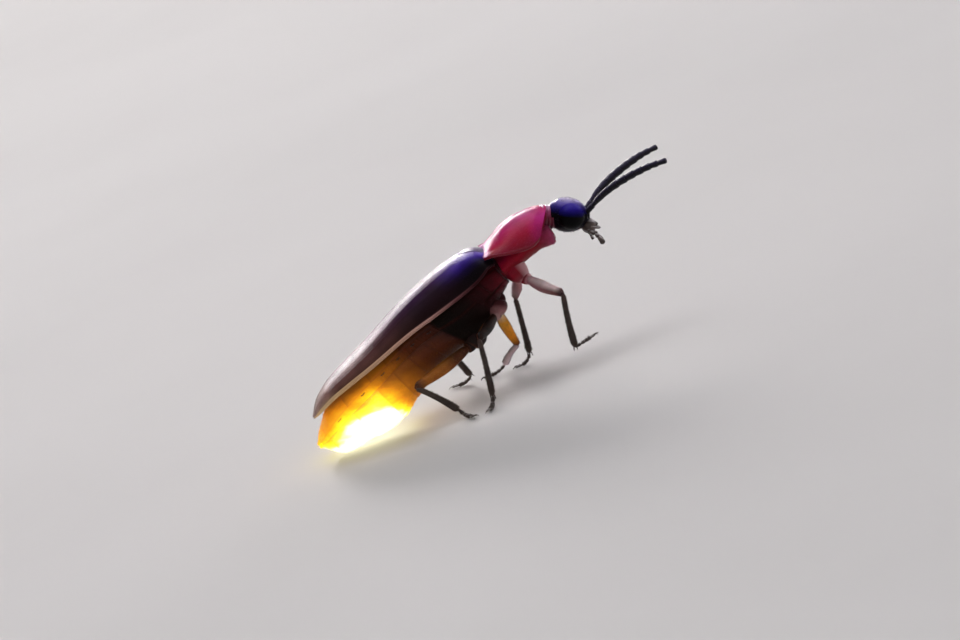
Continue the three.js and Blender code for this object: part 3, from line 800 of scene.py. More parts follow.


# From seam to margin: the pale seam end is partly painted highlight, paler still at the rear and tip, and
# the front's violet is painted reflection.
case_front_with_painted_light = along(
    "span", (0, 0xb8acd8), (0.25, 0x9c88cc), (0.42, 0x846cca), (0.56, 0x6448bc), (0.68, 0x381e8c),
    (0.78, 0x160a3c), (0.87, 0x0a0510), (0.93, 0x080409),
)
case_middle_with_painted_light = along(
    "span", (0, 0xbcaab8), (0.2, 0x9c86a0), (0.36, 0x6c4e74), (0.5, 0x3e2046), (0.72, 0x281024),
    (0.86, 0x200a14), (0.93, 0x1c080e),
)
case_rear_with_painted_light = along(
    "span", (0, 0xe4d8d8), (0.22, 0xccb8bc), (0.36, 0xb8989c), (0.48, 0x886468), (0.64, 0x643c40),
    (0.84, 0x6c4440), (0.93, 0x5e3a34),
)
case_tip_with_painted_light = along(
    "span", (0, 0xe4d0c4), (0.4, 0xd0b0a4), (0.62, 0xa88078), (0.85, 0xb89080), (1, 0xd8b890),
)
case_rim = along(
    "length", (0, 0x2a0c14), (0.12, 0x38141a), (0.22, 0x6a4042), (0.36, 0xb4887e), (0.5, 0xcca08c),
    (0.8, 0xd8b084), (1, 0xe8c898),
)
case_top_with_painted_light = changing("length", 0.08, 0.27, case_front_with_painted_light, case_middle_with_painted_light, how="SMOOTHSTEP")
case_top_with_painted_light = changing("length", 0.34, 0.74, case_top_with_painted_light, case_rear_with_painted_light, how="SMOOTHSTEP")
case_top_with_painted_light = changing("length", 0.82, 0.96, case_top_with_painted_light, case_tip_with_painted_light, how="SMOOTHSTEP")
case_colours_with_painted_light = changing("rim", 0, 1, clouded(case_top_with_painted_light, 0x1c0e16, 1.4, 0.3), case_rim)
case_finish = shell_material(
    "wing_case", case_colours_with_painted_light, (26, 0.25, 0.6), 0.0025, (0.46, 0.38), specular_ior_level=0.06,
    sheen_weight=0.08, sheen_roughness=0.25, sheen_tint=paint(0xe8d8f4),
)
cases = [
    make_piece("wing_case_" + word, [wing_case(side)], case_finish, "elytron", "elytron_" + word, sharp=60)
    for word, side in (("right", -1), ("left", 1))
]

CASE_UP = turned((0, 0, 1), TRUNK_PITCH)


def on_upper_face(normals, marks):
    return (normals @ CASE_UP > 0.1) & (marks["rim"] < 0.5) & (marks["length"] > 0.02)


case_down_finish = down_finish("wing_case_down", case_colours_with_painted_light, 0x30222e)
for number, case in enumerate(cases):
    down(
        case.name + "_down", [case], 5600, 0.1, BACKWARD, case_down_finish, "elytron", 20 + number,
        stand=9, thick=0.0026, where=on_upper_face,
    )

# The scutellum: the small hard shield wedged between the wing cases' bases, under the pronotum's hind edge.
# It has a faint keel and a raised rim, and its rounded point lies on the seam. Its dull violet, paler
# towards the rim, is painted reflection and highlight, like the wing cases' shoulders.
SHIELD_LENGTH = 1.0
SHIELD_HALF_WIDTH = 0.56
SHIELD_RISE = 0.012
SHIELD_THICKNESS = 0.11
SHIELD_RIM_THINNING = 0.06
run = np.linspace(0, 1, 34)[:, None]
across = np.linspace(-1, 1, 31)[None, :]
half_width = SHIELD_HALF_WIDTH * (1 - run**1.8) ** 0.8 + 0.035
rim = smoothstep(np.maximum(np.abs(across), run**3), 0.78, 0.97)
dome = 0.05 * (1 - across**2) + 0.022 * rim + 0.02 * bump_at(across, 0.08) * (1 - run)
shield_back = 0.04 + SHIELD_LENGTH * run + 0 * across
shield_out = across * half_width
shield_up = case_height(shield_back, np.abs(shield_out) / case_half_width(shield_back)) + 0.6 * dome
shield_top = stacked(-shield_back, shield_out, shield_up + SHIELD_RISE)
shield_low = shield_top - stacked(0, 0, SHIELD_THICKNESS - SHIELD_RIM_THINNING * rim)
# Dull violet, paler towards the rim: painted reflection and highlight matching the wing cases.
shield_painted_sheen = clouded(along("rim", (0, 0x544470), (1, 0x7c6c98)), 0x3a2c4c, 4.0, 0.4)
shield_finish = shell_material(
    "scutellum", shield_painted_sheen, (18, 0.4, 0.4), 0.01, (0.5, 0.4), specular_ior_level=0.3,
    sheen_weight=0.35, sheen_roughness=0.25,
)
make_piece(
    "scutellum_shield", [plate(on_trunk(shield_top), on_trunk(shield_low), rim=rim, run=run)],
    shield_finish, "thorax", "scutellum",
)

# The pronotum: the domed shield over the first ring of the thorax, of firm translucent shell with a flat rim
# and a turned-in underside. Its middle carries a fine furrow between two soft swellings. It is magenta on
# the shoulders, darkening to crimson down the flanks partly as painted shade, and brighter in front. Its
# pale pink top and pale mauve hind edge are painted highlight.
PROTHORAX_PITCH = 9
PRONOTUM_LENGTH = 3.42
PRONOTUM_HALF_WIDTH = 1.88
REAR_BOW = 0.22
FRONT_BOW = 0.97
PRONOTUM_THICKNESS = 0.14
PRONOTUM_SQUARENESS = 2.3
BORDER_RISE = 0.035
FLAT_RIM_STARTS = 0.95
FURROW_DEPTH = 0.05
SWELLING_RISE = 0.05
HOLLOW_DEPTH = 0.05
FOLD_WIDTH = 0.52
INNER_MARGIN = 26  # how many of the top's columns the inner sheet stops short of on each side
on_prothorax = region(waist, PROTHORAX_PITCH)
pronotum_top = through((0, 0.12), (0.35, 0.58), (0.52, 0.7), (0.7, 0.66), (0.88, 0.54), (1, 0.3))
pronotum_margin = through((0, 0.0), (0.1, -0.05), (0.4, -0.38), (0.75, -0.6), (1, -0.55))
pronotum_half_width = through(
    (0, 1.68), (0.1, 1.82), (0.25, PRONOTUM_HALF_WIDTH), (0.45, PRONOTUM_HALF_WIDTH), (0.8, 1.7), (1, 1.34),
)


def pronotum_points(run, across, sink=0.0, draw_in=0.0):
    """Points of the shield, sunk below its surface and drawn in from its margin by some millimetres."""
    margin = pronotum_margin(run)
    flat = np.minimum(np.abs(across) / FLAT_RIM_STARTS, 1)
    dome = (pronotum_top(run) - margin) * arch(flat, PRONOTUM_SQUARENESS)
    rim = BORDER_RISE * (bump_at(np.abs(across) - 0.985, 0.02) + 0.7 * bump_at(run - 0.985, 0.02))
    furrow_fade = smoothstep(run, 0.08, 0.3) * (1 - smoothstep(run, 0.75, 0.95))
    furrow = -FURROW_DEPTH * bump_at(across, 0.05) * furrow_fade
    swellings = SWELLING_RISE * bump_at(np.abs(across) - 0.3, 0.16) * bump_at(run - 0.3, 0.16)
    hollows = -HOLLOW_DEPTH * bump_at(np.abs(across) - 0.72, 0.12) * bump_at(run - 0.16, 0.12)
    bow = REAR_BOW + (FRONT_BOW - REAR_BOW) * run**2
    x = PRONOTUM_LENGTH * run - bow * np.abs(across) ** 2.2 - 0.2 * sink * run**4
    y = across * pronotum_half_width(run) - draw_in * np.sign(across)
    return stacked(x, y, margin + dome + rim + furrow + swellings + hollows - sink)


run = np.linspace(0, 1, 90)[:, None]
across = np.sin(np.linspace(-1, 1, 121) * QUARTER)[None, :]
top_sheet = pronotum_points(run, across)
fold = np.linspace(0, 1, 12)[None, :]
fold_in = FOLD_WIDTH * fold**1.5
fold_down = 0.05 + 0.1 * np.sin(fold * math.pi) ** 0.5 + 0.02 * fold
edge = np.ones_like(fold)
left_fold = pronotum_points(run, edge, fold_down, fold_in)
right_fold = pronotum_points(run, -edge, fold_down, fold_in)[:, ::-1]
inner_across = across[:, ::-1][:, INNER_MARGIN:-INNER_MARGIN]
inner_sheet = pronotum_points(run, inner_across, PRONOTUM_THICKNESS)
section = np.concatenate([top_sheet, left_fold, inner_sheet, right_fold], axis=1)
under = np.concatenate([0 * across, edge, np.ones_like(inner_across), edge], axis=1)
spans = np.concatenate([np.abs(across), edge, np.abs(inner_across), edge], axis=1)
# Across the middle: a pale pink top as painted highlight, then magenta, darkening down the flanks partly as
# painted shade.
pronotum_middle_with_painted_light = along(
    "span", (0, 0xc880a8), (0.12, 0xe8a8cc), (0.27, 0xe070ac), (0.42, 0xd2247a), (0.6, 0xc80454),
    (0.74, 0xb8023a), (0.88, 0x9c0224), (1, 0x7c0218),
)
pronotum_front = along(
    "span", (0, 0xc42c64), (0.3, 0xd03078), (0.55, 0xdc3c9c), (0.8, 0xcc247c), (1, 0x9c0c48),
)
# The pale mauve hind edge: painted highlight.
pronotum_hind_with_painted_highlight = along("span", (0, 0xcc88b8), (0.6, 0xd47cc4), (0.85, 0xc860b0), (1, 0x943c78))
pronotum_upper_with_painted_light = changing("run", 0.66, 0.98, pronotum_middle_with_painted_light, pronotum_front, how="SMOOTHSTEP")
pronotum_upper_with_painted_light = changing("run", 0.12, 0.0, pronotum_upper_with_painted_light, pronotum_hind_with_painted_highlight, how="SMOOTHSTEP")
pronotum_colours_with_painted_light = changing("under", 0, 1, clouded(pronotum_upper_with_painted_light, 0x960f46, 1.5, 0.35), plain(0x7c1028))
pronotum_finish = shell_material(
    "pronotum", pronotum_colours_with_painted_light, (20, 0.25, 0.5), 0.009, (0.5, 0.38), specular_ior_level=0.2,
    sheen_weight=0.12, sheen_roughness=0.25, sheen_tint=paint(0xffd8ec),
    subsurface_weight=0.15, subsurface_scale=0.25 * MM,
)
pronotum_shield = make_piece(
    "pronotum_shield", [solid(on_prothorax(section), span=spans, under=under)], pronotum_finish, "pronotum",
    "pronotum", sharp=60,
)
down(
    "pronotum_down", [pronotum_shield], 4200, 0.09, turned((-1, 0, -0.15), PROTHORAX_PITCH),
    down_finish("pronotum_down", pronotum_colours_with_painted_light, 0xe8709c), "pronotum", 31, stand=14, thick=0.0028,
    where=lambda normals, marks: (marks["under"] < 0.05) & (normals[:, 2] > -0.1),
)

# The underside of the first ring: a crimson keel between the forelegs' sockets, with a raised collar round
# the neck. It is one stiff box of shell under the pronotum, darker towards the belly.
CORE_REAR = 0.15
CORE_FRONT = 3.05
COLLAR_SWELL = 0.07  # as a share of the section, like the next two
SEAM_DEPTH = 0.035
KEEL_SWELL = 0.05
core_top = through((CORE_REAR, -0.4), (1.2, -0.1), (2.2, -0.15), (CORE_FRONT, -0.35))
core_bottom = through((CORE_REAR, -1.6), (0.9, -1.42), (2.2, -1.24), (2.8, -1.36), (CORE_FRONT, -1.2))
core_half_width = through((CORE_REAR, 1.3), (1.2, 1.42), (2.2, 1.2), (CORE_FRONT, 0.7))
run = np.linspace(0, 1, 80)[:, None]
forward = CORE_REAR + (CORE_FRONT - CORE_REAR) * run
angle = full_turn(96)[None, :]
collar = COLLAR_SWELL * bump_at(run - 0.95, 0.03) - 0.04 * bump_at(run - 0.88, 0.03)
beside_keel = bump_at(np.abs(np.sin(angle / 2 + QUARTER / 2)) - 0.93, 0.02)
seam = -SEAM_DEPTH * beside_keel * smoothstep(run, 0.1, 0.2)
keel = KEEL_SWELL * bump_at(angle - 2 * QUARTER, 0.12) * smoothstep(run, 0.2, 0.4)
swell = 1 + collar + seam + keel - 0.06 * bump_at(run, 0.02) - 0.12 * bump_at(run - 1, 0.012)
top, bottom = core_top(forward), core_bottom(forward)
level = (top + bottom) / 2
core_up = level + (top - bottom) / 2 * np.cos(angle) * swell
core = stacked(forward, core_half_width(forward) * np.sin(angle) * swell, core_up)
keel_side = along("low", (0, 0xb40650), (0.4, 0xa0042a), (0.75, 0x860418), (1, 0x7c2024))
keel_colours = clouded(changing("run", 0.7, 1.0, keel_side, plain(0xb04870)), 0x4a0a12, 1.8, 0.4)
keel_finish = shell_material(
    "prothorax_keel", keel_colours, (15, 0.3, 0.6), 0.014, (0.6, 0.48), specular_ior_level=0.1,
    subsurface_weight=0.15, subsurface_scale=0.25 * MM,
)
keel_piece = make_piece(
    "prothorax_keel", [solid(on_prothorax(core), low=(1 - np.cos(angle)) / 2)], keel_finish,
    "prothorax_side", "prosternum",
)
down(
    "keel_down", [keel_piece], 1500, 0.12, BACKWARD, down_finish("keel_down", keel_colours, 0xb4485c),
    "prothorax_side", 32, where=lambda normals, marks: marks["low"] > 0.3,
)

# The waist: a collar of soft folded skin between the first ring and the wing-bearing rings, deep crimson
# clouded with black. It is fixed all round to both, so no daylight shows between.
WAIST_TUCK = 0.3
WAIST_FOLDS = 6
WAIST_FOLD_DEPTH = 0.035
run = np.linspace(0, 1, 50)[:, None, None]
to_core = core[np.searchsorted(forward[:, 0], CORE_REAR + WAIST_TUCK)][None]
core_middle = to_core.mean(axis=1, keepdims=True)
front_ring = on_prothorax(core_middle + 0.9 * (to_core - core_middle))
rear_ring = hull(WAIST_TUCK, angle, 0.9)
rear_middle = rear_ring.mean(axis=1, keepdims=True)
waist_fold = 1 + WAIST_FOLD_DEPTH * np.sin(run * 2 * math.pi * WAIST_FOLDS) * np.sin(run * math.pi)
waist_skin = rear_ring + (front_ring - rear_ring) * run
waist_line = rear_middle + (front_ring.mean(axis=1, keepdims=True) - rear_middle) * run
waist_skin = waist_line + (waist_skin - waist_line) * waist_fold
waist_colours = clouded(plain(0x4a0a18), 0x1c0508, 3.0, 0.7)
waist_finish = shell_material("waist_skin", waist_colours, (18, 0.2, 0.8), 0.02, (0.52, 0.42))
make_piece("waist_skin", [solid(waist_skin)], waist_finish, "prothorax_side")

# The neck: a short collar of soft folded skin that lets the head nod. It is dark red below and slightly
# moist, and its lilac top is painted highlight.
NECK_RADIUS = 0.52
NECK_REAR = -0.62
NECK_LENGTH = 0.8
NECK_LEVEL = 0.02
NECK_FOLDS = 5
NECK_FOLD_DEPTH = 0.045
on_head = region(head_base, HEAD_PITCH)
run = np.linspace(0, 1, 60)[:, None]
angle = full_turn(64)[None, :]
rings = NECK_FOLD_DEPTH * np.sin(run * 2 * math.pi * NECK_FOLDS)
folds = 1 + rings + 0.02 * np.sin(angle * 9 + 4 * run) - 0.25 * bump_at(run, 0.06)
neck_up = NECK_LEVEL + NECK_RADIUS * folds * np.cos(angle)
neck = stacked(NECK_REAR + NECK_LENGTH * run, 1.05 * NECK_RADIUS * folds * np.sin(angle), neck_up)
# Dark red below, lilac on top as painted highlight.
neck_with_painted_highlight = clouded(
    along("top", (0, 0x420a14), (0.55, 0x7a1838), (0.8, 0xb0487c), (1, 0xd89cc8)), 0x7a1440, 3.0, 0.4,
)
neck_finish = shell_material("neck_skin", neck_with_painted_highlight, (18, 0.2, 0.8), 0.02, (0.5, 0.4), coat_weight=0.2)
neck_skin = solid(on_head(neck), top=(1 + np.cos(angle)) / 2)
make_piece("neck_collar", [neck_skin], neck_finish, "prothorax_side", "neck")

# The head: a smooth hard capsule, hollowed between the eyes, with a low face plate above the mouth and two
# raised rings where the feelers turn. It is black, with deep indigo above as painted reflection and lilac
# along its crown as painted highlight.
HEAD_CENTRE = np.array([0.72, 0, 0.16])
HEAD_SIZE = np.array([0.98, 0.84, 0.8])
FEELER_SOCKET = np.array([1.5, 0.25, 0.22])
SOCKET_RADIUS = 0.2
SOCKET_RIM = 0.06
BROW_HOLLOW = 0.075
FACE_PLATE_RISE = 0.1
HEAD_LOWEST = -0.64
HEAD_HEIGHT = 1.6


def unit_ball(rings, columns):
    """Directions all over a ball, in rings from its front to its back, with their angles."""
    polar = np.linspace(0, math.pi, rings)[:, None]
    around = full_turn(columns)[None, :]
    across = np.sin(polar)
    return stacked(np.cos(polar), across * np.sin(around), across * np.cos(around)), polar, around


ball = unit_ball(90, 120)[0]
behind = 1 - 0.14 * np.maximum(-ball[..., 0], 0) ** 2
jaw = 1 - 0.12 * np.maximum(-ball[..., 2], 0)
capsule = HEAD_CENTRE + ball * HEAD_SIZE * stacked(1, behind * jaw, behind)
x, y, z = np.moveaxis(capsule, -1, 0)
hollow = BROW_HOLLOW * bump_at(y, 0.24) * smoothstep(z, 0.2, 0.75) * smoothstep(x, 0.3, 1.0)
socket = np.sqrt((np.abs(y) - FEELER_SOCKET[1]) ** 2 + (z - FEELER_SOCKET[2]) ** 2)
ring = (SOCKET_RIM * bump_at(socket - SOCKET_RADIUS, 0.05) - 0.05 * bump_at(socket, 0.12)) * (x > 1.2)
face_plate = FACE_PLATE_RISE * bump_at(y, 0.3) * bump_at(z + 0.22, 0.22) * (x > 1.0)
nape = 0.03 * bump_at(x + 0.02, 0.06)
capsule = capsule + ball * (ring + face_plate + nape - hollow)[..., None]
height = np.clip((z - HEAD_LOWEST) / HEAD_HEIGHT, 0, 1)
# Black below; the indigo above is painted reflection and the lilac crown painted highlight.
crown_painted_sheen = along(
    "height", (0, 0x020203), (0.56, 0x030206), (0.68, 0x1a1064), (0.77, 0x34248c), (0.87, 0x7464bc),
    (0.94, 0xb8acdc), (1, 0xe4dcf0),
)
head_with_painted_sheen = clouded(crown_painted_sheen, 0x06040c, 2.5, 0.3)
head_finish = shell_material(
    "head_shell", head_with_painted_sheen, (22, 0.4, 0.4), 0.008, (0.46, 0.34), specular_ior_level=0.07,
    sheen_weight=0.2, sheen_roughness=0.3, sheen_tint=paint(0xe0d0f8),
)
head_capsule = make_piece(
    "head_capsule", [solid(on_head(capsule), height=height)], head_finish, "head_shell", "head",
)
down(
    "head_down", [head_capsule], 700, 0.1, turned((1, 0, -0.3), HEAD_PITCH),
    down_finish("head_down", head_with_painted_sheen, 0x6a6078), "head_shell", 41, stand=40,
)

# The eyes: each a bulging dome of thousands of tiny lenses, side by side like a honeycomb. They are glassy
# black, with a painted deep indigo reflection on their upper half, and sit in the sides of the capsule.
EYE_SIZE = np.array([0.6, 0.56, 0.6])
EYE_OUT = 0.66
LENS_SUBDIVISIONS = 5
LENS_RISE = 0.016
SHOULDER_RISE = 0.72 * LENS_RISE
RING_SHARE = 0.42  # how far in from a lens's corners its dome levels off


def lens_ball():
    """A ball of hexagonal lenses: one on each corner of a fine ball of triangles."""
    ball = bmesh.new()
    bmesh.ops.create_icosphere(ball, subdivisions=LENS_SUBDIVISIONS, radius=1)
    ball.faces.ensure_lookup_table()
    centres = [np.array(vertex.co) * (1 + LENS_RISE) for vertex in ball.verts]
    corners = [np.array(face.calc_center_median().normalized()) for face in ball.faces]
    points = centres + corners
    faces, shoulders = [], {}

    def shoulder(vertex, face):
        key = (vertex.index, face.index)
        if key not in shoulders:
            shoulders[key] = len(points)
            level = corners[face.index] + (centres[vertex.index] - corners[face.index]) * RING_SHARE
            points.append(level / np.linalg.norm(level) * (1 + SHOULDER_RISE))
        return shoulders[key]

    for edge in ball.edges:
        first, second = edge.link_faces
        for vertex in edge.verts:
            near, far = shoulder(vertex, first), shoulder(vertex, second)
            faces.append([vertex.index, near, far])
            faces.append([near, len(centres) + first.index, len(centres) + second.index, far])
    ball.free()
    return np.array(points), faces


lens_points, lens_faces = lens_ball()
# Black, with a painted indigo reflection on the upper half.
painted_indigo_reflection = along(
    "height", (0, 0x010102), (0.52, 0x020205), (0.66, 0x120a58), (0.84, 0x2c1c94), (1, 0x4c3cb0),
)
eyes_with_painted_reflection = clouded(painted_indigo_reflection, 0x000002, 2.0, 0.3)
eye_finish = shell_material(
    "eye_lenses", eyes_with_painted_reflection, (8, 0.0, 0.1), 0.002, (0.28, 0.22), specular_ior_level=0.06,
)
for word, side in (("right", -1), ("left", 1)):
    centre = np.array([EYE_CENTRE[0], side * EYE_OUT, EYE_CENTRE[2]])
    height = (lens_points[:, 2] + 1) / 2
    values = {"height": height, "run": height, "span": (lens_points[:, 0] + 1) / 2}
    lenses = (on_head(lens_points * EYE_SIZE + centre), lens_faces, values)
    make_piece("compound_eye_" + word, [lenses], eye_finish, "eye", "eye_" + word, sharp=75)

# The mouth: a rounded cone of mouth parts below the face, with a small hinged lip, two crossed sickle jaws,
# and two pairs of jointed palps that hang forward. They are hard and brown, with a painted pale grey
# highlight on top.
MOUTH_CENTRE = np.array([1.74, 0, -0.3])
MOUTH_SIZE = 0.94 * np.array([0.38, 0.42, 0.36])
LIP_THICKNESS = 0.05
JAW_THICKNESS = 0.1
UPWARD = np.array([0, 0, 1.0])


def curve_through(points, count):
    """Evenly spaced points on a smooth curve through a few."""
    points = np.asarray(points, float)
    places = np.concatenate([[0], np.cumsum(np.linalg.norm(np.diff(points, axis=0), axis=1))])
    axes = [through(*zip(places, axis)) for axis in points.T]
    distance = np.linspace(0, places[-1], count)
    return stacked(*[axis(distance) for axis in axes])


def limb(path, wide, deep, up=UPWARD, around=20, toward=None):
    """A solid limb along a path, oval in section: wide across and deep along up. Its ends are closed.
    With toward, its facing mark is 1 where it faces that way and 0 where it faces the other."""
    forward = unit(np.gradient(path, axis=0))
    across = unit(np.cross(np.broadcast_to(up, path.shape), forward))
    upward = np.cross(forward, across)
    turn = full_turn(around)[None, :, None]
    sideways, risen = np.cos(turn) * across[:, None], np.sin(turn) * upward[:, None]
    offset = np.asarray(wide)[:, None, None] * sideways + np.asarray(deep)[:, None, None] * risen
    marks = {"top": (1 + np.sin(turn[..., 0])) / 2}
    if toward is not None:
        marks["facing"] = (1 + (sideways + risen) @ toward) / 2
    return solid(path[:, None] + offset, **marks)


def pointed(thickness, count, tip=0.01):
    """A spike's half width along its length, down to a fine tip."""
    return thickness * np.sqrt(np.linspace(1, tip, count))


BLUNT_END = 0.94  # how much of a joint's end is closed
JOINT_OVERLAP = 0.04
PATH_STEPS = 400


def joint_profile(count, stem, shoulder_at):
    """A joint's swelling along its length: a thin stem, a shoulder, and a blunt rounded end."""
    s = np.linspace(0, 1, count)
    swelling = stem + (1 - stem) * smoothstep(s, 0.0, shoulder_at)
    closing = np.sqrt(1 - BLUNT_END * np.clip((s - shoulder_at) / (1 - shoulder_at), 0, 1) ** 2)
    return swelling * closing * np.clip(s * count * 0.8, 0.15, 1)


def jointed(path_points, shares, radius, stem, flatten=1.0, steps=18, shoulder_at=0.75):
    """A row of joints along a curve. shares are their lengths, and radius gives each one's half width."""
    path = curve_through(path_points, PATH_STEPS)
    ends = np.concatenate([[0], np.cumsum(shares)]) / sum(shares)
    sheets = []
    for i, (first, last) in enumerate(zip(ends[:-1], ends[1:])):
        rows = np.linspace(max(first - JOINT_OVERLAP * (last - first), 0), last, steps) * (PATH_STEPS - 1)
        line = stacked(*[np.interp(rows, np.arange(PATH_STEPS), axis) for axis in path.T])
        thick = radius[i] * joint_profile(steps, stem, shoulder_at)
        sheets.append(limb(line, thick, thick * flatten))
    return sheets


mouth_horn_and_highlight = along("run", (0, 0x84726a), (0.5, 0x4a3e3a), (1, 0x2c2224))
# Pale grey on top: a painted highlight.
mouth_horn_and_highlight = changing("top", 0.55, 1.0, mouth_horn_and_highlight, plain(0xdcd4d2), most=0.9)
mouth_horn_and_highlight = changing("run", 0.4, 0.9, mouth_horn_and_highlight, plain(0x2c1c18), most=0.9)
mouth_with_painted_highlight = clouded(mouth_horn_and_highlight, 0x4c3a30, 6.0, 0.4)
mouth_finish = shell_material(
    "mouth_parts", mouth_with_painted_highlight, (24, 0.4, 0.5), 0.008, (0.42, 0.32), specular_ior_level=0.4,
)
ball, polar, around = unit_ball(44, 60)
lobes = 1 + 0.06 * np.cos(6 * around) * np.sin(polar) ** 2 - 0.1 * bump_at(ball[..., 1], 0.07)
cone = MOUTH_CENTRE + ball * MOUTH_SIZE * lobes[..., None]
lip_run = np.linspace(0, 1, 16)[:, None]
lip_across = np.linspace(-1, 1, 21)[None, :]
lip_top = stacked(
    1.86 + 0.3 * lip_run * (1 - 0.25 * lip_across**2), 0.27 * lip_across * (1 - 0.25 * lip_run),
    -0.16 * lip_run**1.5 - 0.06 * lip_across**2,
)
JAW_PATH = np.array([(1.8, 0.3, -0.3), (2.08, 0.27, -0.34), (2.24, 0.1, -0.36), (2.22, -0.08, -0.36)])
PALP_PATH = np.array([(1.62, 0.28, -0.42), (2.0, 0.42, -0.6), (2.26, 0.43, -0.8), (2.44, 0.4, -1.05)])
LIP_PALP_PATH = np.array([(1.72, 0.12, -0.56), (1.86, 0.16, -0.72), (1.98, 0.17, -0.9)])
jaw_size = pointed(JAW_THICKNESS, 24, 0.02)
jaw_lines = [on_head(curve_through(JAW_PATH * [1, side, 1], 24)) for side in (-1, 1)]
jaws = [limb(line, jaw_size, 0.7 * jaw_size) for line in jaw_lines]
cone_sheet = solid(on_head(cone), top=np.clip(ball[..., 2], 0, 1))
lip_sheet = plate(on_head(lip_top), on_head(lip_top - LIP_THICKNESS * UPWARD), top=0.8, run=lip_run)
make_piece("mouth_cone", [cone_sheet, lip_sheet, *jaws], mouth_finish, "head_shell", "mouthparts")
for word, side in (("right", -1), ("left", 1)):
    palp, lip_palp = [on_head(path * [1, side, 1]) for path in (PALP_PATH, LIP_PALP_PATH)]
    palps = [
        *jointed(palp, (0.2, 0.26, 0.2, 0.4), (0.09, 0.105, 0.1, 0.13), 0.5),
        *jointed(lip_palp, (0.3, 0.3, 0.4), (0.06, 0.06, 0.075), 0.5),
    ]
    make_piece("palps_" + word, palps, mouth_finish, "antenna", "palp_" + word)

# The feelers: each of eleven hard joints, a stout one in the head's socket, a small round one, and nine
# longer ones, slightly flattened, that sweep forward, up and apart. They are dull violet-black, paler violet
# along their tops as a painted highlight.
FEELER_PATH = np.array(
    [(7.3, 0.24, 6.16), (8.35, 0.72, 6.78), (9.3, 1.15, 7.13), (10.6, 1.7, 7.38), (11.6, 2.1, 7.42)]
)
FEELER_JOINTS = (0.78, 0.3, 0.52, 0.55, 0.55, 0.55, 0.53, 0.5, 0.48, 0.45, 0.5)
FEELER_RADII = (0.17, 0.155, 0.2, 0.225, 0.235, 0.235, 0.23, 0.22, 0.205, 0.185, 0.16)
HEAD_BASE_ON_FLOOR = np.array([5.86, 0, 6.6])  # in the level frame that the feelers and legs are drawn in
on_floor = region(head_base - HEAD_BASE_ON_FLOOR, 0)
feeler_joint_and_highlight = along("run", (0, 0x161016), (0.25, 0x0b0810), (1, 0x120e1c))
# Paler violet along the top: a painted highlight.
feeler_joint_and_highlight = changing("top", 0.5, 1.0, feeler_joint_and_highlight, plain(0x382c58), most=0.6)
feeler_with_painted_highlight = clouded(feeler_joint_and_highlight, 0x0a060e, 4.0, 0.3)
feeler_finish = shell_material(
    "feeler", feeler_with_painted_highlight, (22, 0.3, 0.7), 0.012, (0.6, 0.5), specular_ior_level=0.25,
)
for word, side in (("right", -1), ("left", 1)):
    path = on_floor(FEELER_PATH * [1, side, 1])
    joints = jointed(path, FEELER_JOINTS, FEELER_RADII, 0.86, flatten=0.78, steps=30, shoulder_at=0.9)
    feeler = make_piece("feeler_" + word, joints, feeler_finish, "antenna", "antenna_" + word)
    down(
        "feeler_down_" + word, [feeler], 1500, 0.06, path[-1] - path[0],
        down_finish("feeler_down_" + word, feeler_with_painted_highlight, 0x3c3444), "antenna", 51, stand=18, thick=0.004,
    )

# The legs: six rows of hard tubes, each a coxa in its socket, a trochanter, a swollen femur, a slender tibia
# with two spurs, and a foot of five joints and two claws. The forelegs have crimson hips, pale on their
# front faces as painted highlight, and pink thighs with a painted pale highlight along their upper sides.
# The middle hips are dark red, pale at their ends as painted highlight. The middle thighs are amber,
# brightened to orange as painted lantern light, pale at the base as painted highlight and black outside as
# painted shade. The hind thighs are amber, and shins and feet dark grey-brown, the middle shins pale inside
# as painted highlight.
FOOT_SHARES = (0.3, 0.2, 0.16, 0.12, 0.22)
FOOT_WIDTHS = (0.1, 0.115, 0.125, 0.14, 0.075)
SOLE_HEIGHT = 0.11
ROUND_ENDS = 14  # a limb's length over the length of each rounded end
LOBE_HALF_WIDTH = 0.055
LOBE_HALF_DEPTH = 0.035
LOBE_STEPS = 14
CLAW_LENGTH = 0.24
CLAW_THICKNESS = 0.03
SPUR_LENGTH = 0.16
SPUR_THICKNESS = 0.028
SOLE_CURVE = 3.2
LEG_HAIR = 0.1
# Each leg's socket, hip, knee, ankle and the ends of its claws.
LEG_JOINTS = {
    "foreleg_right": (
        (3.32, -0.68, 5.38), (3.66, -0.87, 4.66), (5.04, -2.4, 3.61), (4.65, -2.5, 1.08), (5.66, -2.6, 1.3),
    ),
    "foreleg_left": (
        (3.32, 0.68, 5.38), (3.5, 0.87, 4.58), (3, 2.5, 3.33), (2.66, 2.9, 0.5), (1.9, 3.1, 0.1),
    ),
    "midleg_right": (
        (2.05, -0.62, 4.05), (1.9, -0.8, 3.55), (0.75, -2.9, 3.23), (0.35, -2.65, 0.45),
        (-0.05, -3.75, 0.1),
    ),
    "midleg_left": (
        (2.05, 0.62, 4.05), (1.98, 0.8, 3.55), (2.29, 1.65, 1.36), (1.42, 3.3, 0.4), (0.3, 3.5, 0.1),
    ),
    "hindleg_right": (
        (0.75, -0.8, 3.1), (0.35, -1.05, 2.7), (-2.75, -2.75, 2.16), (-1.3, -2.65, 0.42),
        (-0.75, -3.65, 0.1),
    ),
    "hindleg_left": (
        (0.75, 0.8, 3.1), (0.35, 1.05, 2.7), (-1, 3.2, 2.55), (-0.25, 3.6, 0.42), (-1.2, 4.3, 0.1),
    ),
}
crimson = along("run", (0, 0x9c0c30), (0.55, 0x8a0a22), (0.8, 0x84303a), (1, 0xb88288))
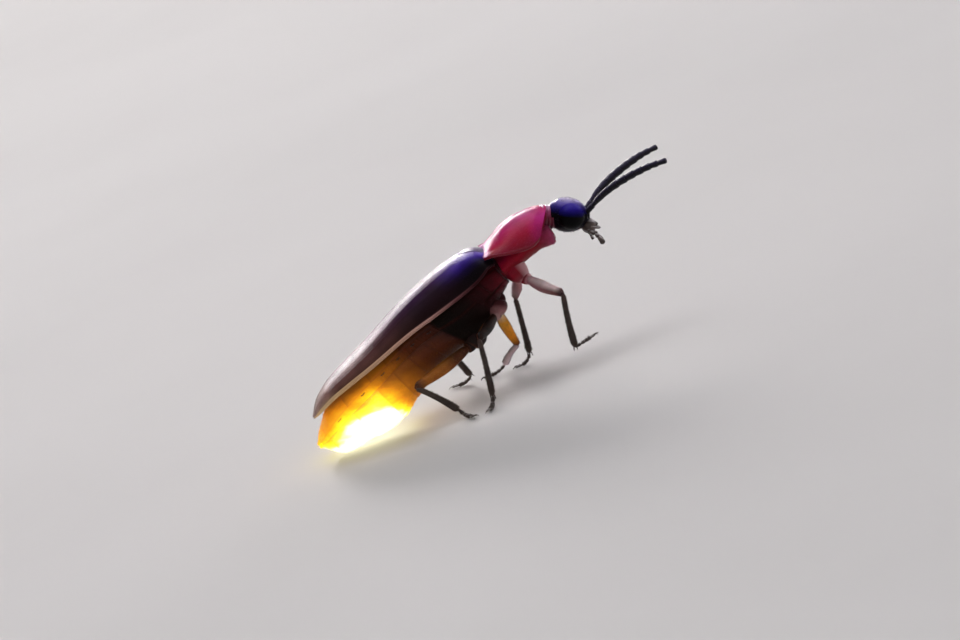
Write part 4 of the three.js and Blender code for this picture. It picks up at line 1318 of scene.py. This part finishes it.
# The middle hips pale towards their ends: a painted highlight.
pale_ended_by_painted_highlight = along("run", (0, 0x340c12), (0.35, 0x4a1c20), (0.7, 0x9c6c6c), (1, 0xc49c98))
dark_red = along("run", (0, 0x3a0c14), (0.3, 0x12070a), (0.8, 0x1c0d0c), (1, 0x5a3020))
pink = along("run", (0, 0x9a4454), (0.12, 0xb8848a), (0.5, 0xa87478), (0.8, 0x80504e), (0.95, 0x3a2224))
# Painted highlight for the forelegs' upper sides.
painted_highlight_pink = along("run", (0, 0xc08088), (0.15, 0xf0dcdc), (0.8, 0xecd4d0), (0.95, 0x5a4040))
# The middle thighs: pale at the base as painted highlight, bright orange partly as painted lantern light.
amber = along("run", (0, 0xf4e4dc), (0.14, 0xf4cc98), (0.3, 0xffb23c), (0.75, 0xf89c20), (0.95, 0x5a2412))
brown_amber = along(
    "run", (0, 0x2c1612), (0.3, 0x5a3218), (0.5, 0xb06a22), (0.82, 0xb46a1e), (0.95, 0x3a1c12),
)
grey_brown = along("run", (0, 0x5c4440), (0.2, 0x4a403a), (0.8, 0x403632), (1, 0x4c4038))
shin_colours = clouded(grey_brown, 0x1a1014, 4.0, 0.4)
# The middle shins pale on their inner faces: a painted highlight.
mid_shin_with_painted_highlight = changing("facing", 0.45, 0.2, shin_colours, plain(0xd8c0c8))
coxa_colours = {
    # The foreleg hips pale on their front faces: a painted highlight.
    "foreleg": changing("facing", 0.5, 0.92, clouded(crimson, 0x560c18, 2.6, 0.4), plain(0xe0b0b4)),
    "midleg": clouded(pale_ended_by_painted_highlight, 0x4c2024, 3.0, 0.4),
    "hindleg": clouded(dark_red, 0x2c0c10, 3.0, 0.5),
}
femur_colours = {
    "foreleg": clouded(changing("top", 0.55, 0.15, pink, painted_highlight_pink), 0x8a5c64, 2.4, 0.2),
    # The middle thighs black on their outer faces: painted shade.
    "midleg": clouded(changing("facing", 0.2, 0.5, amber, plain(0x100607)), 0x5a2c14, 2.4, 0.2),
    "hindleg": clouded(brown_amber, 0x7a3c18, 2.4, 0.35),
}
coxa_finishes = {
    pair: shell_material(
        pair + "_coxa", colours, (16, 0.3, 0.5), 0.012, (0.56, 0.44), specular_ior_level=0.14,
    )
    for pair, colours in coxa_colours.items()
}
femur_finishes = {
    pair: shell_material(
        pair + "_femur", colours, (18, 0.35, 0.4), 0.01, (0.5, 0.4), specular_ior_level=0.18,
        subsurface_weight=0.25, subsurface_scale=0.2 * MM,
    )
    for pair, colours in femur_colours.items()
}
shin_finish, mid_shin_finish = [
    shell_material(name, colours, (18, 0.4, 0.4), 0.01, (0.52, 0.42), specular_ior_level=0.25)
    for name, colours in (("shin", shin_colours), ("mid_shin", mid_shin_with_painted_highlight))
]


def bowed(start, end, count, sag, up):
    """A straight run of points, bowed sideways in its middle."""
    s = np.linspace(0, 1, count)[:, None]
    return start + (end - start) * s + up * sag * np.sin(math.pi * s)


def closed_ends(profile):
    """A limb's half width along its length, rounded off at both ends."""
    s = np.linspace(0, 1, len(profile))
    near, far = [np.sqrt(np.clip(share * ROUND_ENDS, 0.02, 1)) for share in (s, 1 - s)]
    return profile * near * far


def foot(ankle, claws, grounded):
    """A foot's joints with their pads, the two-lobed fourth joint, and the claws."""
    s = np.linspace(0, 1, 9)[:, None]
    line = ankle + (claws - ankle) * s
    if grounded:
        line[:, 2] = SOLE_HEIGHT + (ankle[2] - SOLE_HEIGHT) * (1 - s[:, 0]) ** SOLE_CURVE
    sole = line[:-1] if grounded else line
    sheets = jointed(sole, FOOT_SHARES, FOOT_WIDTHS, 0.6, flatten=0.72, steps=16)
    heading = unit(line[-1] - line[-2])
    side = unit(np.cross(UPWARD, heading))
    knob = line[-3]
    rounding = closed_ends(np.ones(LOBE_STEPS))
    for turn in (-1, 1):
        out = turn * side
        lobe_points = [knob, knob + 0.1 * heading + 0.08 * out, knob + 0.27 * heading + 0.13 * out]
        lobe = curve_through(lobe_points, LOBE_STEPS)
        sheets.append(limb(lobe, LOBE_HALF_WIDTH * rounding, LOBE_HALF_DEPTH * rounding, around=12))
        base = line[-2] + 0.5 * (line[-1] - line[-2])
        reach = CLAW_LENGTH * heading
        arch_of_claw = base + 0.45 * reach + 0.06 * out + 0.03 * UPWARD
        bend = base + 0.85 * reach + 0.12 * out
        point = base + reach + 0.13 * out - 0.06 * UPWARD
        taper = pointed(CLAW_THICKNESS, 16)
        sheets.append(limb(curve_through([base, arch_of_claw, bend, point], 16), taper, taper, around=10))
    return sheets


FORWARD = np.array([1.0, 0, 0])
thigh_profile = through((0, 0.17), (0.2, 0.25), (0.45, 0.29), (0.75, 0.23), (0.93, 0.2), (1, 0.2))
shin_profile = through((0, 0.12), (0.1, 0.125), (0.5, 0.14), (0.9, 0.17), (1, 0.16))
s = np.linspace(0, 1, 30)
coxa_rings = 0.012 * np.sin(s * 60) * (s < 0.35)
coxa_size = closed_ends(0.5 + 0.08 * np.sin(math.pi * s) - 0.22 * s**2 + coxa_rings)
knob_size = closed_ends(0.25 + 0.03 * np.sin(math.pi * np.linspace(0, 1, 20)))
thigh_size = closed_ends(thigh_profile(s))
knee_cleft = 1 - 0.18 * bump_at(s - 0.97, 0.06)
shin_size = closed_ends(shin_profile(s))
spur_size = pointed(SPUR_THICKNESS, 10)
haired = {"foreleg_thigh": [], "midleg_thigh": [], "hindleg_thigh": [], "midleg_shin": [], "shin": []}
for name, joints in LEG_JOINTS.items():
    socket, hip, knee, ankle, claws = on_floor(joints)
    pair = name.split("_")[0]
    outward = np.array([0, 1.0 if name.endswith("left") else -1.0, 0])
    along_coxa, along_thigh, along_shin = unit(hip - socket), unit(knee - hip), unit(ankle - knee)
    bend_up = unit(np.cross(np.cross(along_thigh, along_shin), along_thigh))
    shin_up = unit(np.cross(np.cross(along_shin, along_thigh), along_shin))

    coxa_line = bowed(socket, hip + 0.12 * along_coxa, 30, 0.04, outward)
    coxa = limb(coxa_line, coxa_size, 0.9 * coxa_size, outward, 32, toward=FORWARD)
    knob_line = bowed(hip - 0.12 * along_thigh, hip + 0.34 * along_thigh, 20, 0.0, outward)
    knob = limb(knob_line, knob_size, knob_size, bend_up, 28, toward=FORWARD)
    coxa_slot = "prothorax_side" if pair == "foreleg" else "thorax"
    make_piece(name + "_hip", [coxa, knob], coxa_finishes[pair], coxa_slot, name + "_coxa")

    thigh_line = bowed(hip + 0.2 * along_thigh, knee + 0.05 * along_thigh, 30, 0.07, bend_up)
    femur = limb(thigh_line, 0.78 * thigh_size * knee_cleft, thigh_size, bend_up, 30, toward=outward)
    thigh_piece = make_piece(name + "_thigh", [femur], femur_finishes[pair], "femur", name + "_femur")
    haired[pair + "_thigh"].append((thigh_piece, 1, knee - hip))

    shin_line = bowed(knee, ankle, 30, -0.06, shin_up)
    tibia = [limb(shin_line, 0.85 * shin_size, shin_size, shin_up, 26, toward=outward)]
    for turn in (-1, 1):
        sideways = turn * unit(np.cross(along_shin, shin_up))
        spur_root = ankle - 0.06 * along_shin + 0.09 * sideways
        spur_line = bowed(spur_root, ankle + SPUR_LENGTH * along_shin + 0.13 * sideways, 10, 0, outward)
        tibia.append(limb(spur_line, spur_size, spur_size, outward, 8, toward=outward))
    coat, finish = ("midleg_shin", mid_shin_finish) if pair == "midleg" else ("shin", shin_finish)
    shin_piece = make_piece(name + "_shin", tibia, finish, "tibia", name + "_tibia")
    haired[coat].append((shin_piece, len(tibia), ankle - knee))

    sheets = foot(ankle, claws, grounded=name != "foreleg_right")
    foot_piece = make_piece(name + "_foot", sheets, shin_finish, "tibia", name + "_tarsus")
    haired["shin"].append((foot_piece, len(sheets), claws - ankle))
leg_coats = {
    "foreleg_thigh": (700, femur_colours["foreleg"], 0xc8a8a8, "femur"),
    "midleg_thigh": (700, femur_colours["midleg"], 0x3a2418, "femur"),
    "hindleg_thigh": (800, femur_colours["hindleg"], 0xd0a060, "femur"),
    "midleg_shin": (1200, mid_shin_with_painted_highlight, 0x4c3830, "tibia"),
    "shin": (4000, shin_colours, 0x4c3830, "tibia"),
}
for number, (part, (count, colours, tip, slot)) in enumerate(leg_coats.items()):
    ways = [way for _, sheets, way in haired[part] for _ in range(sheets)]
    down(
        part + "_down", [piece for piece, _, _ in haired[part]], count, LEG_HAIR, ways,
        down_finish(part + "_down", colours, tip), slot, 60 + number, stand=34, thick=0.005,
        where=lambda normals, marks: normals[:, 2] > -0.5,
    )

# The floor and the light: a plain pale sweep of matt paper under four soft lamps. A broad one overhead
# lights the floor and the upper sides, and a weak one in front the near flank. Two narrow beams from low
# behind give the bright edge along the back and the feelers. The paper's far floor and its wall also glow, a
# painted light that brightens them.
SWEEP_FLAT = 0.5  # metres, as the sizes and places of the lamps
SWEEP_EDGE = 0.86
SWEEP_RISE = 0.25
radius = np.linspace(0.01, SWEEP_EDGE, 60)[:, None] / MM
turn = full_turn(96)[None, :]
wall = SWEEP_RISE / MM * smoothstep(radius, SWEEP_FLAT / MM, (SWEEP_EDGE + 0.1) / MM)
sweep_points = stacked(radius * np.cos(turn), radius * np.sin(turn), wall)
paper_colours = clouded(plain(0xcccbc8), 0xc4c3c0, 0.02, 0.5)
# The paper's glow, none near the insect and most at the wall: painted light.
far_light = along(
    "run", (0.08, 0x000000), (0.34, 0x595857), (0.58, 0x7c7b7a), (0.8, 0x8c8b89), (1, 0x949391),
)
paper_finish = shell_material(
    "pale_paper", paper_colours, (0.4, 0.0, 0.4), 0.01, (0.95, 0.9), far_light, specular_ior_level=0.1,
    emission_strength=1.0,
)
sweep = lattice(sweep_points, closed=True, caps=(True, False))
joined_object("floor_sweep", [sweep], paper_finish)


def soft_lamp(name, place, size, power, tint, spread=180):
    """A square soft lamp that faces the insect. spread is how wide its beam opens, in degrees."""
    lamp = bpy.data.lights.new(name, "AREA")
    lamp.size = size
    lamp.energy = power
    lamp.spread = math.radians(spread)
    lamp.color = paint(tint)[:3]
    holder = bpy.data.objects.new(name, lamp)
    bpy.context.scene.collection.objects.link(holder)
    holder.location = place
    holder.rotation_euler = (-holder.location).to_track_quat("-Z", "Y").to_euler()


soft_lamp("lamp_back", (-0.07, 0.66, 0.19), 0.2, 0.16, 0xfff8f8, spread=30)
soft_lamp("lamp_top", (0.05, 0.12, 0.72), 0.5, 2.9, 0xfcfaff)
soft_lamp("lamp_front", (0.35, -0.6, 0.5), 0.6, 0.6, 0xf4f2ff)
soft_lamp("lamp_edge", (0.4, 0.5, 0.2), 0.15, 0.018, 0xf6f0ff, spread=30)
studio = bpy.data.worlds.new("studio")
studio.use_nodes = True
surround = studio.node_tree.nodes["Background"]
surround.inputs["Color"].default_value = paint(0xe8e8ec)
surround.inputs["Strength"].default_value = 0.16
scene = bpy.context.scene
scene.world = studio
scene.view_settings.view_transform = "Standard"
scene.view_settings.look = "None"

# The camera: a long lens from the insect's right, a little above it and rolled, so that the body climbs to
# the right as in the photograph.
PHOTO_WIDTH = 960  # pixels
PIXELS_PER_MM = 21.9
FRAME_WIDTH = PHOTO_WIDTH / PIXELS_PER_MM * MM
SENSOR = 36.0  # millimetres
DISTANCE = 0.25
ELEVATION = math.radians(11)
ROLL = math.radians(22)
AIM_ON_FLOOR = (1.106, 0, 3.41)
aim = on_floor(AIM_ON_FLOOR) * MM
away = np.array([0, -math.cos(ELEVATION), math.sin(ELEVATION)])
level_right = np.array([1.0, 0, 0])
level_up = np.cross(away, level_right)
right = math.cos(ROLL) * level_right - math.sin(ROLL) * level_up
upward = math.sin(ROLL) * level_right + math.cos(ROLL) * level_up
camera_data = bpy.data.cameras.new("camera")
camera_data.sensor_width = SENSOR
camera_data.lens = SENSOR * DISTANCE / FRAME_WIDTH
camera_data.clip_start = 0.01
camera_data.clip_end = 10
camera = bpy.data.objects.new("camera", camera_data)
scene.collection.objects.link(camera)
axes = np.column_stack([right, upward, away, aim + away * DISTANCE])
camera.matrix_world = Matrix([*axes.tolist(), [0, 0, 0, 1]])
scene.camera = camera

# The bloom: the haze that so bright a lantern leaves round itself in a lens. It is added to the finished
# picture, from what is brighter there than plain white.
scene.use_nodes = True
treatment = scene.node_tree
treatment.nodes.clear()
picture = treatment.nodes.new("CompositorNodeRLayers")
bloom = treatment.nodes.new("CompositorNodeGlare")
bloom.glare_type = "BLOOM"
for socket, value in {"Threshold": 1.2, "Strength": 0.6, "Size": 0.5}.items():
    bloom.inputs[socket].default_value = value
result = treatment.nodes.new("CompositorNodeComposite")
treatment.links.new(picture.outputs["Image"], bloom.inputs["Image"])
treatment.links.new(bloom.outputs["Image"], result.inputs["Image"])
